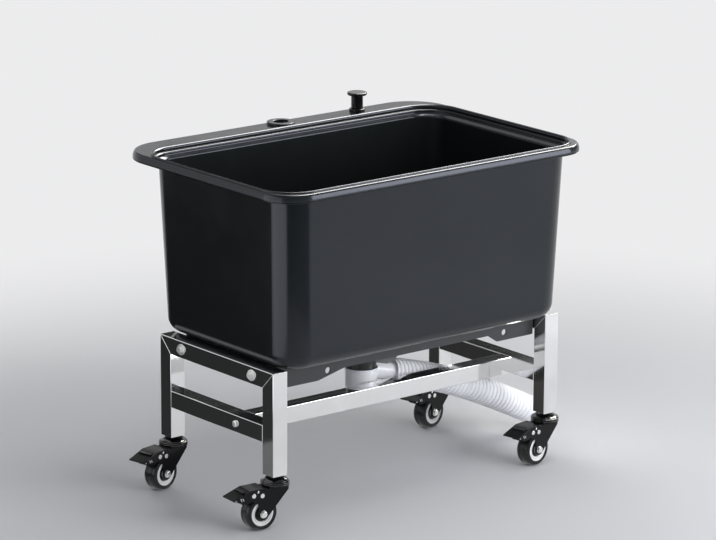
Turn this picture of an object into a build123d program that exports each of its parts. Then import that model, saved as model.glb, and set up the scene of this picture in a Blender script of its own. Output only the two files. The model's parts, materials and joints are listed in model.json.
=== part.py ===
from build123d import *
import math
import os

# Utility laundry sink: a deep moulded tub on a welded square-tube frame with four braked casters.
# Millimetres, +X to the right, -Y to the front, +Z up, floor at z = 0.
# Everything is drawn about the frame's centre line and moved to the row origin when it is written.

# ---- frame ----
TUBE = 38.0
TUBE_WALL = 1.5
TUBE_EDGE = 1.6
FRAME_LENGTH = 796.0
FRAME_DEPTH = 402.0
FRAME_TOP = 341.0
LEG_FOOT = 114.0
LOWER_RAIL_TOP = 221.0
LONG_RAIL_Y = -69.0

# ---- frame fasteners ----
SKIRT_BOLT_INSET = 76.0
SKIRT_BOLT_R = 4.0
SKIRT_BOLT_HEAD_R = 7.5
SKIRT_BOLT_HEAD_H = 5.5
SKIRT_WASHER_R = 12.0
SKIRT_WASHER_T = 2.0
SKIRT_NUT_R = 7.5
SKIRT_NUT_H = 6.5
RAIL_BOLT_R = 4.0
RAIL_BOLT_HEAD_R = 7.0
RAIL_BOLT_HEAD_H = 4.5
RAIL_PLUG_LENGTH = 26.0
BOLT_CLEARANCE = 0.4

# Cutters run this far past the faces they cut.
OVER = 1.0

# ---- tub body ----
BODY_END_INSET = 3.0
BODY_OVERHANG = 47.0
BODY_CORNER = 62.0
BODY_DRAFT = 2.1
BODY_BOTTOM_FILLET = 34.0
TUB_WALL = 4.5
TUB_HEIGHT = 398.0
RIM_HEIGHT = 21.0
RIM_END_OVERHANG = 30.0
RIM_FRONT_OVERHANG = 28.0
RIM_REAR_OVERHANG = 78.0
RIM_FRONT_CORNER = 75.0
RIM_REAR_CORNER = 97.0
RIM_EDGE = 5.0
RIM_WALL = 4.0
BEAD_HEIGHT = 3.0
BEAD_WIDTH = 13.0
OPENING_END_STEP = 9.0
OPENING_SIDE_STEP = 1.0
OPENING_CORNER = 68.0
LEDGE_DEPTH = 20.0
SEAT_PAD_LENGTH = 60.0
SEAT_PAD_WIDTH = 16.0
SEAT_PAD_INSET = 81.0

# ---- tap hole and deck knob ----
DECK_LINE_INSET = 32.0
TAP_HOLE_X = 4.0
TAP_HOLE_R = 17.5
TAP_BOSS_R = 32.0
TAP_BOSS_HEIGHT = 6.0
KNOB_END_INSET = 204.0
KNOB_HOLE_R = 11.0
KNOB_BASE_R = 18.0
KNOB_BASE_HEIGHT = 7.0
KNOB_SLEEVE_R = 10.7
KNOB_GUIDE_LENGTH = 16.0
KNOB_SLEEVE_WALL = 3.0
KNOB_STEM_R = 13.5
KNOB_CORE_R = 7.65
KNOB_DISC_R = 22.5
KNOB_DISC_HEIGHT = 7.0
KNOB_HEIGHT = 44.0
KNOB_LIFT = 18.0
KNOB_BASE_EDGE = 2.0
KNOB_REST_GAP = 0.3
KNOB_CORE_RISE = 2.0
KNOB_GASKET_R = 17.0
KNOB_GASKET_T = 2.0
KNOB_NUT_R = 16.0
KNOB_NUT_H = 8.0

# ---- skirt ----
SKIRT_SETBACK = 35.0
SKIRT_WALL = 4.0
SKIRT_MIDDLE_DROP = 31.0
SKIRT_TAB_DROP = 48.0
SKIRT_TAB_LENGTH = 110.0
SKIRT_LEFT_SLANT = 72.0
SKIRT_RIGHT_SLANT = 26.0
SKIRT_HOLE_R = 7.0
SKIRT_LEFT_HOLE_INSET = 136.0
SKIRT_RIGHT_HOLE_INSET = 90.0
SKIRT_HOLE_DROP = 30.0
SKIRT_CORNER = 12.0
SKIRT_FLANGE_WIDTH = 22.0
SKIRT_FLANGE_T = 4.0

# ---- drain ----
WELL_R = 52.0
WELL_DROP = 8.0
DISH_R = 46.0
DISH_DEPTH = 2.5
DRAIN_HOLE_R = 32.0
FLANGE_R = 44.0
FLANGE_T = 2.0
FLANGE_TUBE_R = 31.5
FLANGE_BORE_R = 29.0
STRAINER_LEDGE_R = 24.0
GASKET_R = 42.0
GASKET_T = 3.0
DRAIN_NUT_R = 43.0
DRAIN_NUT_H = 12.0
DRAIN_NUT_SIDES = 8
STRAINER_R = 33.0
BASKET_R = 28.0
BASKET_DEPTH = 16.0
BASKET_WALL = 2.0
BASKET_HOLE_R = 2.5
BASKET_HOLE_CIRCLE = 16.0
BASKET_HOLES = 8
PLUG_R = 21.0
PLUG_HEIGHT = 12.0
PLUG_STEM_R = 6.0
PLUG_STEM_DROP = 10.0
PLUG_GAP = 0.3
STEM_FIT = 0.05
TAIL_BELOW_NUT = 4.0
TAIL_FLOOR_T = 2.0
CUP_R = 37.5
CUP_TOP = 243.0
CUP_BOTTOM = 170.0
CUP_WALL = 3.0
CUP_LIP = 2.0
CUP_LIP_HEIGHT = 5.0
SEAT_GAP = 0.1
INLET_LENGTH = 104.0
INLET_HALF_WIDTH = 12.0
INLET_TOP = 264.0
INLET_BOTTOM = 241.0
INLET_SLANT = 24.0
CABLE_NUT_R = 6.0
CABLE_NUT_LENGTH = 12.0
CABLE_HOLE_R = 1.6

# ---- outlet and hose ----
SOCKET_R = 21.0
SOCKET_BORE_R = 18.0
COLLAR_FLANGE_R = 29.5
COLLAR_FLANGE_T = 5.0
HOSE_R = 31.5
HOSE_VALLEY_R = 28.5
HOSE_BORE_R = 26.5
HOSE_RIB_PITCH = 11.5
CUFF_R = 32.5
CUFF_LENGTH = 22.0

# Hose centre line in the plane y = 0: (x, z) from the outlet socket down to the floor.
HOSE_ROUTE = [
    (86.0, 216.4),
    (149.8, 199.5),
    (213.9, 179.9),
    (276.8, 156.9),
    (338.3, 130.3),
    (398.8, 101.6),
    (458.8, 71.7),
    (517.4, 41.3),
]

# ---- casters ----
WHEEL_R = 37.5
WHEEL_WIDTH = 32.0
WHEEL_CROWN = 2.0
TYRE_BEAD = 1.5
TYRE_FLAT = 2.0
TYRE_ROUND = 0.6
TYRE_TREAD_INSET = 3.0
CASTER_TRAIL = 41.0
HUB_R = 27.0
HUB_RING = 8.5
HUB_RECESS = 5.0
HUB_BOSS_R = 9.0
HUB_BORE_R = 4.08
HUB_FACE_STEP = 0.5
AXLE_R = 4.0
AXLE_HEAD_R = 7.0
AXLE_HEAD_H = 5.0
CHEEK_T = 2.5
WHEEL_SIDE_GAP = 1.4
FORK_TOP = 96.0
FORK_PLATE_T = 4.0
FORK_FOLD = 2.0
RACE_R = 31.0
RACE_HEIGHT = 6.0
UPPER_RACE_R = 29.5
UPPER_RACE_TOP_R = 18.0
UPPER_RACE_EDGE = 2.0
SWIVEL_GAP = 0.3
KINGPIN_R = 6.0
KINGPIN_FIT = 0.05
KINGPIN_HEAD_R = 10.0
KINGPIN_HEAD_H = 3.0
KINGPIN_HEAD_GAP = 1.0
KINGPIN_DEPTH = 6.0
COLLAR_R = 9.5
COLLAR_H = 4.0
STEM_R = 5.0
STEM_LENGTH = 24.0
INSERT_LENGTH = 32.0
FORK_NOSE = 22.0
FORK_NOSE_Z = 84.0
FORK_TAIL = -82.0
FORK_TAIL_Z = 74.0
FORK_TAIL_DROP = 8.0
FORK_TAIL_SLOPE = 16.0
FORK_WAIST = -52.0
FORK_WAIST_Z = 62.0
AXLE_BOSS_R = 13.0
BOSS_BOTTOM_ANGLE = -110.0
PEDAL_PIVOT_X = -67.0
PEDAL_PIVOT_Z = 83.0
PEDAL_TIP_X = -116.0
PEDAL_TIP_Z = 80.0
PEDAL_ROOT_X = -35.0
PEDAL_KNEE_X = -74.0
PEDAL_TOP_Z = 95.0
PEDAL_T = 2.5
PEDAL_SIDE_GAP = 0.8
PEDAL_FLANGE_T = 2.0
PEDAL_TRAVEL = 11.0
PEDAL_EAR = 3.0
PEDAL_EAR_REACH = 12.0
PEDAL_FOOT_REACH = 8.0
PEDAL_CHIN = 16.0
PEDAL_CHIN_DROP = 2.0
RIVET_X = -44.0
RIVET_Z = 79.0
RIVET_R = 3.0
RIVET_HEAD_R = 5.0
RIVET_HEAD_H = 1.2
RIVET_FIT = 0.05
RIVET_PEDAL_GAP = 0.3
SHOE_LENGTH = 9.0
SHOE_GAP_LOCKED = 0.4
SHOE_DROP = 17.0
SHOE_T = 7.0
SHOE_SIDE_GAP = 1.0
SHOE_TAIL_GAP = 1.0

# name, side in X, side in Y, swivel angle at rest (the casters stand as they last rolled)
CASTERS = [
    ("front_left", -1, -1, -5.0),
    ("front_right", 1, -1, 9.0),
    ("rear_left", -1, 1, 11.0),
    ("rear_right", 1, 1, 11.0),
]

# ---- derived places ----
HALF_LENGTH = FRAME_LENGTH / 2
HALF_DEPTH = FRAME_DEPTH / 2
LEG_X = HALF_LENGTH - TUBE / 2
LEG_Y = HALF_DEPTH - TUBE / 2
RAIL_INNER_X = HALF_LENGTH - TUBE
RAIL_MIDDLE_Z = FRAME_TOP - TUBE / 2
LOWER_RAIL_MIDDLE_Z = LOWER_RAIL_TOP - TUBE / 2
SKIRT_BOLT_Y = HALF_DEPTH - SKIRT_BOLT_INSET
RIM_TOP = FRAME_TOP + TUB_HEIGHT
BODY_HALF_LENGTH = HALF_LENGTH - BODY_END_INSET
BODY_HALF_DEPTH = HALF_DEPTH + BODY_OVERHANG
RIM_HALF_LENGTH = BODY_HALF_LENGTH + RIM_END_OVERHANG
RIM_FRONT = BODY_HALF_DEPTH + RIM_FRONT_OVERHANG
RIM_REAR = BODY_HALF_DEPTH + RIM_REAR_OVERHANG
OPENING_HALF_LENGTH = BODY_HALF_LENGTH + OPENING_END_STEP
OPENING_HALF_DEPTH = BODY_HALF_DEPTH + OPENING_SIDE_STEP
DECK_Y = RIM_REAR - DECK_LINE_INSET
KNOB_X = RIM_HALF_LENGTH - KNOB_END_INSET
SEAT_PAD_Y = HALF_DEPTH - SEAT_PAD_INSET
SKIRT_HALF_DEPTH = HALF_DEPTH - SKIRT_SETBACK
SKIRT_MIDDLE_BOTTOM = FRAME_TOP - SKIRT_MIDDLE_DROP
SKIRT_TAB_BOTTOM = FRAME_TOP - SKIRT_TAB_DROP
SKIRT_HOLE_Z = FRAME_TOP - SKIRT_HOLE_DROP
SKIRT_HOLES_X = (SKIRT_LEFT_HOLE_INSET - RAIL_INNER_X, RAIL_INNER_X - SKIRT_RIGHT_HOLE_INSET)
BODY_TOP = RIM_TOP - RIM_HEIGHT
DECK_TOP = RIM_TOP - BEAD_HEIGHT
CHEEK_INNER = WHEEL_WIDTH / 2 + WHEEL_SIDE_GAP
CHEEK_OUTER = CHEEK_INNER + CHEEK_T
WELL_BOTTOM = FRAME_TOP - WELL_DROP
RACE_TOP = FORK_TOP + RACE_HEIGHT
KNOB_SLEEVE_LENGTH = KNOB_LIFT + KNOB_GUIDE_LENGTH
STRAINER_SEAT = FRAME_TOP + TUB_WALL - DISH_DEPTH
TAIL_BOTTOM = WELL_BOTTOM - GASKET_T - DRAIN_NUT_H - TAIL_BELOW_NUT
CUP_SEAT = CUP_TOP - CUP_LIP_HEIGHT
BASKET_SEAT = TAIL_BOTTOM + TAIL_FLOOR_T
UPPER_RACE_BOTTOM = RACE_TOP + SWIVEL_GAP
UPPER_RACE_TOP = LEG_FOOT - COLLAR_H
PEDAL_INNER = CHEEK_OUTER + PEDAL_SIDE_GAP
PEDAL_OUTER = PEDAL_INNER + PEDAL_FLANGE_T
PIVOT_REACH = PEDAL_OUTER + RIVET_PEDAL_GAP


def caster_x_reach():
    """Furthest reach of a caster's pedal tip to the left of its leg, at rest."""
    reach = 0.0
    for _, side_x, _, angle in CASTERS:
        turn = math.radians(angle)
        for half in (PEDAL_OUTER, -PEDAL_OUTER):
            tip = PEDAL_TIP_X * math.cos(turn) - half * math.sin(turn)
            reach = min(reach, side_x * LEG_X + tip)
    return reach


ORIGIN_X = (caster_x_reach() + RIM_HALF_LENGTH) / 2
ORIGIN_Y = (RIM_REAR - RIM_FRONT) / 2


def write(shape, name):
    """Move a piece to the row origin and write its file."""
    export_step(Pos(-ORIGIN_X, -ORIGIN_Y, 0) * shape, f"parts/{name}.step")


def group(solids):
    return Compound(children=list(solids))


def cylinder_along(axis, radius, length, start):
    """Solid cylinder of a length along +axis ('X', 'Y' or 'Z') from a start point."""
    turn = {"X": (0, 90, 0), "Y": (-90, 0, 0), "Z": (0, 0, 0)}[axis]
    shape = Cylinder(radius, length, align=(Align.CENTER, Align.CENTER, Align.MIN))
    return Pos(*start) * Rot(*turn) * shape


def hexagon_along(axis, radius, height, start):
    """Hexagonal prism, radius to its corners, along +axis from a start point."""
    turn = {"X": (0, 90, 0), "Y": (-90, 0, 0), "Z": (0, 0, 0)}[axis]
    shape = extrude(RegularPolygon(radius, 6), height)
    return Pos(*start) * Rot(*turn) * shape


def block(x0, x1, y0, y1, z0, z1):
    return Pos((x0 + x1) / 2, (y0 + y1) / 2, (z0 + z1) / 2) * Box(x1 - x0, y1 - y0, z1 - z0)


def rounded_rectangle(half_x, y_front, y_rear, r_front, r_rear, z):
    """Rounded rectangle face at height z, with its own radius at the front and rear corners."""
    diag = math.sqrt(0.5)
    x, f, b = half_x, -y_front, y_rear
    kf, kr = r_front * (1 - diag), r_rear * (1 - diag)
    edges = [
        Line((-x + r_front, f, z), (x - r_front, f, z)),
        ThreePointArc((x - r_front, f, z), (x - kf, f + kf, z), (x, f + r_front, z)),
        Line((x, f + r_front, z), (x, b - r_rear, z)),
        ThreePointArc((x, b - r_rear, z), (x - kr, b - kr, z), (x - r_rear, b, z)),
        Line((x - r_rear, b, z), (-x + r_rear, b, z)),
        ThreePointArc((-x + r_rear, b, z), (-x + kr, b - kr, z), (-x, b - r_rear, z)),
        Line((-x, b - r_rear, z), (-x, f + r_front, z)),
        ThreePointArc((-x, f + r_front, z), (-x + kf, f + kf, z), (-x + r_front, f, z)),
    ]
    return Face(Wire(edges))


def body_section(inset, z):
    """Outline of the drafted body at height z, moved inwards by inset."""
    draft = (BODY_TOP - z) * math.tan(math.radians(BODY_DRAFT))
    step = inset + draft
    radius = BODY_CORNER - inset
    half_y = BODY_HALF_DEPTH - step
    return rounded_rectangle(BODY_HALF_LENGTH - step, half_y, half_y, radius, radius, z)


def drafted_body(inset, bottom, top, bottom_fillet):
    """Solid body between two heights with its bottom edges rounded."""
    sections = [body_section(inset, z).outer_wire() for z in (bottom, top)]
    solid = Solid.make_loft(sections, True)
    low = solid.edges().filter_by(lambda e: abs(e.center().Z - bottom) < 0.01)
    return fillet(low, bottom_fillet)


# ---- tub ----
def rim_plate():
    """Turned-down rim with the rear deck, hollow from below."""
    outline = rounded_rectangle(
        RIM_HALF_LENGTH, RIM_FRONT, RIM_REAR, RIM_FRONT_CORNER, RIM_REAR_CORNER, BODY_TOP
    )
    plate = extrude(outline, DECK_TOP - BODY_TOP)
    top = plate.edges().filter_by(lambda e: abs(e.center().Z - DECK_TOP) < 0.01)
    plate = fillet(top, RIM_EDGE)
    pocket = rounded_rectangle(
        RIM_HALF_LENGTH - RIM_WALL,
        RIM_FRONT - RIM_WALL,
        RIM_REAR - RIM_WALL,
        RIM_FRONT_CORNER - RIM_WALL,
        RIM_REAR_CORNER - RIM_WALL,
        BODY_TOP,
    )
    return plate - extrude(pocket, DECK_TOP - BODY_TOP - RIM_WALL)


def opening_section(grow, z):
    half_y = OPENING_HALF_DEPTH + grow
    radius = OPENING_CORNER + grow
    return rounded_rectangle(OPENING_HALF_LENGTH + grow, half_y, half_y, radius, radius, z)


def tub():
    neck_bottom = RIM_TOP - LEDGE_DEPTH
    shell = drafted_body(0, FRAME_TOP, BODY_TOP, BODY_BOTTOM_FILLET)
    neck = extrude(opening_section(TUB_WALL, neck_bottom - TUB_WALL), DECK_TOP - neck_bottom + TUB_WALL)
    bead = extrude(opening_section(BEAD_WIDTH, DECK_TOP), BEAD_HEIGHT)
    bead_top = bead.edges().filter_by(lambda e: abs(e.center().Z - RIM_TOP) < 0.01)
    bead = fillet(bead_top, BEAD_HEIGHT * 0.8)
    well = cylinder_along("Z", WELL_R, WELL_DROP + TUB_WALL, (0, 0, WELL_BOTTOM))
    boss_base = (TAP_HOLE_X, DECK_Y, DECK_TOP - RIM_WALL)
    boss = cylinder_along("Z", TAP_BOSS_R, TAP_BOSS_HEIGHT + RIM_WALL, boss_base)
    boss_top = boss.edges().filter_by(lambda e: abs(e.center().Z - DECK_TOP - TAP_BOSS_HEIGHT) < 0.01)
    boss = fillet(boss_top, TAP_BOSS_HEIGHT / 3)
    solid = shell + rim_plate() + neck + bead + well + boss
    for side in (-1, 1):
        for y in (-SEAT_PAD_Y, SEAT_PAD_Y):
            x = side * (RAIL_INNER_X + SEAT_PAD_WIDTH / 2)
            pad = Box(SEAT_PAD_WIDTH, SEAT_PAD_LENGTH, BODY_BOTTOM_FILLET / 2)
            solid += Pos(x, y, FRAME_TOP + BODY_BOTTOM_FILLET / 4) * pad
    cavity = drafted_body(TUB_WALL, FRAME_TOP + TUB_WALL, neck_bottom, BODY_BOTTOM_FILLET - TUB_WALL)
    solid -= cavity
    solid -= extrude(opening_section(0, neck_bottom), BEAD_HEIGHT + LEDGE_DEPTH)
    dish_floor = FRAME_TOP + TUB_WALL - DISH_DEPTH
    solid -= cylinder_along("Z", DISH_R, DISH_DEPTH + OVER, (0, 0, dish_floor))
    solid -= cylinder_along("Z", DRAIN_HOLE_R, WELL_DROP + TUB_WALL + 2 * OVER, (0, 0, WELL_BOTTOM - OVER))
    solid -= cylinder_along("Z", TAP_HOLE_R, 2 * RIM_HEIGHT, (TAP_HOLE_X, DECK_Y, BODY_TOP))
    solid -= cylinder_along("Z", KNOB_HOLE_R, 2 * RIM_HEIGHT, (KNOB_X, DECK_Y, BODY_TOP))
    return solid


# ---- skirt ----
def skirt():
    """Open box under the tub: four walls, a top flange and deeper tabs at its ends."""
    half_x = RAIL_INNER_X
    top = FRAME_TOP
    outer = RectangleRounded(2 * half_x, 2 * SKIRT_HALF_DEPTH, SKIRT_CORNER)
    inner = RectangleRounded(
        2 * (half_x - SKIRT_WALL), 2 * (SKIRT_HALF_DEPTH - SKIRT_WALL), SKIRT_CORNER - SKIRT_WALL
    )
    lip = RectangleRounded(
        2 * (half_x - SKIRT_FLANGE_WIDTH), 2 * (SKIRT_HALF_DEPTH - SKIRT_FLANGE_WIDTH), SKIRT_CORNER
    )
    height = top - SKIRT_TAB_BOTTOM
    solid = Pos(0, 0, SKIRT_TAB_BOTTOM) * extrude(outer - inner, height)
    solid += Pos(0, 0, top - SKIRT_FLANGE_T) * extrude(outer - lip, SKIRT_FLANGE_T)
    reach = half_x - SKIRT_TAB_LENGTH
    relief = Polyline(
        (-reach, SKIRT_TAB_BOTTOM),
        (-reach + SKIRT_LEFT_SLANT, SKIRT_MIDDLE_BOTTOM),
        (reach - SKIRT_RIGHT_SLANT, SKIRT_MIDDLE_BOTTOM),
        (reach, SKIRT_TAB_BOTTOM),
        (-reach, SKIRT_TAB_BOTTOM),
    )
    window = extrude(Plane.XZ * make_face(relief), SKIRT_HALF_DEPTH + OVER, both=True)
    solid -= window
    for hole_x in SKIRT_HOLES_X:
        start = (hole_x, -SKIRT_HALF_DEPTH - OVER, SKIRT_HOLE_Z)
        solid -= cylinder_along("Y", SKIRT_HOLE_R, 2 * (SKIRT_HALF_DEPTH + OVER), start)
    for bolt_y in (-SKIRT_BOLT_Y, SKIRT_BOLT_Y):
        start = (-half_x - OVER, bolt_y, RAIL_MIDDLE_Z)
        solid -= cylinder_along("X", SKIRT_BOLT_R + BOLT_CLEARANCE, 2 * (half_x + OVER), start)
    return solid


# ---- frame ----
def tube_profile():
    """Hollow square tube section."""
    outer = RectangleRounded(TUBE, TUBE, TUBE_EDGE)
    inner = Rectangle(TUBE - 2 * TUBE_WALL, TUBE - 2 * TUBE_WALL)
    return outer - inner


def square_tube(axis, length, start):
    turn = {"X": (0, 90, 0), "Y": (-90, 0, 0), "Z": (0, 0, 0)}[axis]
    return Pos(*start) * Rot(*turn) * extrude(tube_profile(), length)


def leg(side_x, side_y):
    """Upright tube, its top cut on the mitre and its foot open for the insert."""
    solid = square_tube("Z", FRAME_TOP - LEG_FOOT, (side_x * LEG_X, side_y * LEG_Y, LEG_FOOT))
    return solid - mitre_wedge(side_x, side_y, keep_leg=True)


def mitre_wedge(side_x, side_y, keep_leg):
    """Half of the mitred corner block: the leg keeps the outer lower half, the rail the upper one."""
    y_out = side_y * HALF_DEPTH
    y_in = side_y * (HALF_DEPTH - TUBE)
    z_low = FRAME_TOP - TUBE
    inner, outer = y_in - side_y * OVER, y_out + side_y * OVER
    low, high = z_low - OVER, FRAME_TOP + OVER
    third = (inner, high) if keep_leg else (outer, low)
    face = make_face(Polyline((inner, low), (outer, high), third, (inner, low)))
    half = TUBE / 2 + OVER
    return Pos(side_x * LEG_X, 0, 0) * extrude(Plane.YZ * face, half, both=True)


def top_rail(side_x):
    solid = square_tube("Y", FRAME_DEPTH, (side_x * LEG_X, -HALF_DEPTH, RAIL_MIDDLE_Z))
    for side_y in (-1, 1):
        solid -= mitre_wedge(side_x, side_y, keep_leg=False)
    for bolt_y in (-SKIRT_BOLT_Y, SKIRT_BOLT_Y):
        start = (side_x * LEG_X - TUBE, bolt_y, RAIL_MIDDLE_Z)
        solid -= cylinder_along("X", SKIRT_BOLT_R + BOLT_CLEARANCE, 2 * TUBE, start)
    return solid


def lower_rail(side_x):
    length = FRAME_DEPTH - 2 * TUBE
    solid = square_tube("Y", length, (side_x * LEG_X, -length / 2, LOWER_RAIL_MIDDLE_Z))
    start = (side_x * LEG_X - TUBE, LONG_RAIL_Y, LOWER_RAIL_MIDDLE_Z)
    return solid - cylinder_along("X", RAIL_BOLT_R + BOLT_CLEARANCE, 2 * TUBE, start)


def long_rail():
    return square_tube("X", 2 * RAIL_INNER_X, (-RAIL_INNER_X, LONG_RAIL_Y, LOWER_RAIL_MIDDLE_Z))


def long_rail_plugs():
    """Threaded plug in each end of the long rail."""
    solids = []
    side = TUBE - 2 * TUBE_WALL
    for side_x in (-1, 1):
        x_mid = side_x * (RAIL_INNER_X - RAIL_PLUG_LENGTH / 2)
        plug = Pos(x_mid, LONG_RAIL_Y, LOWER_RAIL_MIDDLE_Z) * Box(RAIL_PLUG_LENGTH, side, side)
        start = (x_mid - RAIL_PLUG_LENGTH / 2 - OVER, LONG_RAIL_Y, LOWER_RAIL_MIDDLE_Z)
        solids.append(plug - cylinder_along("X", RAIL_BOLT_R, RAIL_PLUG_LENGTH + 2 * OVER, start))
    return group(solids)


def long_rail_bolts():
    """Bolt through each lower rail into the long rail's plug."""
    solids = []
    z = LOWER_RAIL_MIDDLE_Z
    length = TUBE + RAIL_PLUG_LENGTH
    head_x = -HALF_LENGTH - RAIL_BOLT_HEAD_H
    for side_x in (-1, 1):
        shank = cylinder_along("X", RAIL_BOLT_R, length, (-HALF_LENGTH, LONG_RAIL_Y, z))
        head = cylinder_along("X", RAIL_BOLT_HEAD_R, RAIL_BOLT_HEAD_H, (head_x, LONG_RAIL_Y, z))
        rim = head.edges().filter_by(lambda e: abs(e.center().X - head_x) < 0.01)
        head = fillet(rim, RAIL_BOLT_HEAD_H / 2)
        bolt = shank + head
        if side_x > 0:
            bolt = mirror(bolt, about=Plane.YZ)
        solids.append(bolt)
    return group(solids)


def skirt_fixings():
    """Bolts, washers and nuts that hold the skirt between the top rails."""
    bolts, washers, nuts = [], [], []
    z = RAIL_MIDDLE_Z
    grip = TUBE + SKIRT_WALL
    start = -HALF_LENGTH - SKIRT_WASHER_T
    nut_x = -HALF_LENGTH + grip
    shank_length = SKIRT_WASHER_T + grip + SKIRT_NUT_H + SKIRT_BOLT_R
    for side_x in (-1, 1):
        for bolt_y in (-SKIRT_BOLT_Y, SKIRT_BOLT_Y):
            shank = cylinder_along("X", SKIRT_BOLT_R, shank_length, (start, bolt_y, z))
            washer = cylinder_along("X", SKIRT_WASHER_R, SKIRT_WASHER_T, (start, bolt_y, z)) - shank
            head_place = (start - SKIRT_BOLT_HEAD_H, bolt_y, z)
            bolt = shank + hexagon_along("X", SKIRT_BOLT_HEAD_R, SKIRT_BOLT_HEAD_H, head_place)
            nut = hexagon_along("X", SKIRT_NUT_R, SKIRT_NUT_H, (nut_x, bolt_y, z)) - shank
            pieces = [bolt, washer, nut]
            if side_x > 0:
                pieces = [mirror(piece, about=Plane.YZ) for piece in pieces]
            bolts.append(pieces[0])
            washers.append(pieces[1])
            nuts.append(pieces[2])
    return group(bolts), group(washers), group(nuts)


# ---- casters ----
def leg_insert(x, y):
    """Square plug in a leg's foot with the stem's bore."""
    side = TUBE - 2 * TUBE_WALL
    plug = Pos(x, y, LEG_FOOT + INSERT_LENGTH / 2) * Box(side, side, INSERT_LENGTH)
    return plug - cylinder_along("Z", STEM_R, INSERT_LENGTH + 2 * OVER, (x, y, LEG_FOOT - OVER))


def raceway():
    """Fixed half of the swivel: stem, hexagonal collar and domed upper race."""
    profile = Polyline(
        (0, UPPER_RACE_BOTTOM),
        (UPPER_RACE_R, UPPER_RACE_BOTTOM),
        (UPPER_RACE_R, UPPER_RACE_BOTTOM + UPPER_RACE_EDGE),
        (UPPER_RACE_TOP_R, UPPER_RACE_TOP),
        (0, UPPER_RACE_TOP),
        (0, UPPER_RACE_BOTTOM),
    )
    race = revolve(Plane.XZ * make_face(profile), Axis.Z)
    collar = hexagon_along("Z", COLLAR_R, COLLAR_H, (0, 0, UPPER_RACE_TOP))
    stem = cylinder_along("Z", STEM_R, STEM_LENGTH, (0, 0, LEG_FOOT))
    bore = cylinder_along("Z", KINGPIN_R, KINGPIN_DEPTH, (0, 0, UPPER_RACE_BOTTOM))
    return race + collar + stem - bore


def kingpin():
    """Pin that carries the fork under the raceway."""
    plate_bottom = FORK_TOP - FORK_PLATE_T
    head_top = plate_bottom - SWIVEL_GAP
    head = cylinder_along("Z", KINGPIN_HEAD_R, KINGPIN_HEAD_H, (0, 0, head_top - KINGPIN_HEAD_H))
    length = UPPER_RACE_BOTTOM + KINGPIN_DEPTH - head_top
    return head + cylinder_along("Z", KINGPIN_R, length, (0, 0, head_top))


def boss_point(angle):
    """Point of a cheek's axle boss at an angle from +X, in the XZ plane."""
    return -CASTER_TRAIL + AXLE_BOSS_R * math.cos(angle), WHEEL_R + AXLE_BOSS_R * math.sin(angle)


def cheek_outline():
    """Side outline of a fork cheek in the XZ plane, wheel trailing to -X."""
    plate_bottom = FORK_TOP - FORK_PLATE_T
    nose = (FORK_NOSE, FORK_NOSE_Z)
    lead = math.atan2(nose[1] - WHEEL_R, nose[0] + CASTER_TRAIL)
    spread = math.acos(AXLE_BOSS_R / math.dist(nose, (-CASTER_TRAIL, WHEEL_R)))
    touch = boss_point(lead - spread)
    left = boss_point(math.pi)
    path = [
        Line((FORK_NOSE, plate_bottom), nose),
        Line(nose, touch),
        ThreePointArc(touch, boss_point(math.radians(BOSS_BOTTOM_ANGLE)), left),
        Line(left, (FORK_WAIST, FORK_WAIST_Z)),
        Line((FORK_WAIST, FORK_WAIST_Z), (FORK_TAIL, FORK_TAIL_Z)),
        Line((FORK_TAIL, FORK_TAIL_Z), (FORK_TAIL, plate_bottom - FORK_TAIL_DROP)),
        Line((FORK_TAIL, plate_bottom - FORK_TAIL_DROP), (FORK_TAIL + FORK_TAIL_SLOPE, plate_bottom)),
        Line((FORK_TAIL + FORK_TAIL_SLOPE, plate_bottom), (FORK_NOSE, plate_bottom)),
    ]
    return Face(Wire([Plane.XZ * edge for edge in path]))


def fork():
    """Swivelling fork: lower race, top plate and two cheeks, with pin, axle and rivet holes."""
    plate_bottom = FORK_TOP - FORK_PLATE_T
    race = cylinder_along("Z", RACE_R, RACE_HEIGHT, (0, 0, FORK_TOP))
    race_rim = race.edges().filter_by(lambda e: abs(e.center().Z - RACE_TOP) < 0.01)
    race = fillet(race_rim, RACE_HEIGHT / 3)
    plate = cylinder_along("Z", RACE_R, FORK_PLATE_T, (0, 0, plate_bottom))
    fold_bottom = plate_bottom - FORK_FOLD
    tail = FORK_TAIL + FORK_TAIL_SLOPE
    solid = race + plate
    solid += block(tail, FORK_NOSE, -CHEEK_OUTER, CHEEK_OUTER, fold_bottom, plate_bottom)
    for side in (-1, 1):
        middle = side * (CHEEK_INNER + CHEEK_T / 2)
        solid += Pos(0, middle, 0) * extrude(cheek_outline(), CHEEK_T / 2, both=True)
    pin_height = RACE_TOP - fold_bottom + 2 * OVER
    solid -= cylinder_along("Z", KINGPIN_R + KINGPIN_FIT, pin_height, (0, 0, fold_bottom - OVER))
    head_r = KINGPIN_HEAD_R + KINGPIN_HEAD_GAP
    solid -= cylinder_along("Z", head_r, FORK_FOLD + OVER, (0, 0, fold_bottom - OVER))
    side = -CHEEK_OUTER - OVER
    for radius, x, z in (
        (AXLE_R, -CASTER_TRAIL, WHEEL_R),
        (RIVET_R, RIVET_X, RIVET_Z),
        (RIVET_R, PEDAL_PIVOT_X, PEDAL_PIVOT_Z),
    ):
        solid -= cylinder_along("Y", radius, -2 * side, (x, side, z))
    return solid


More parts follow.
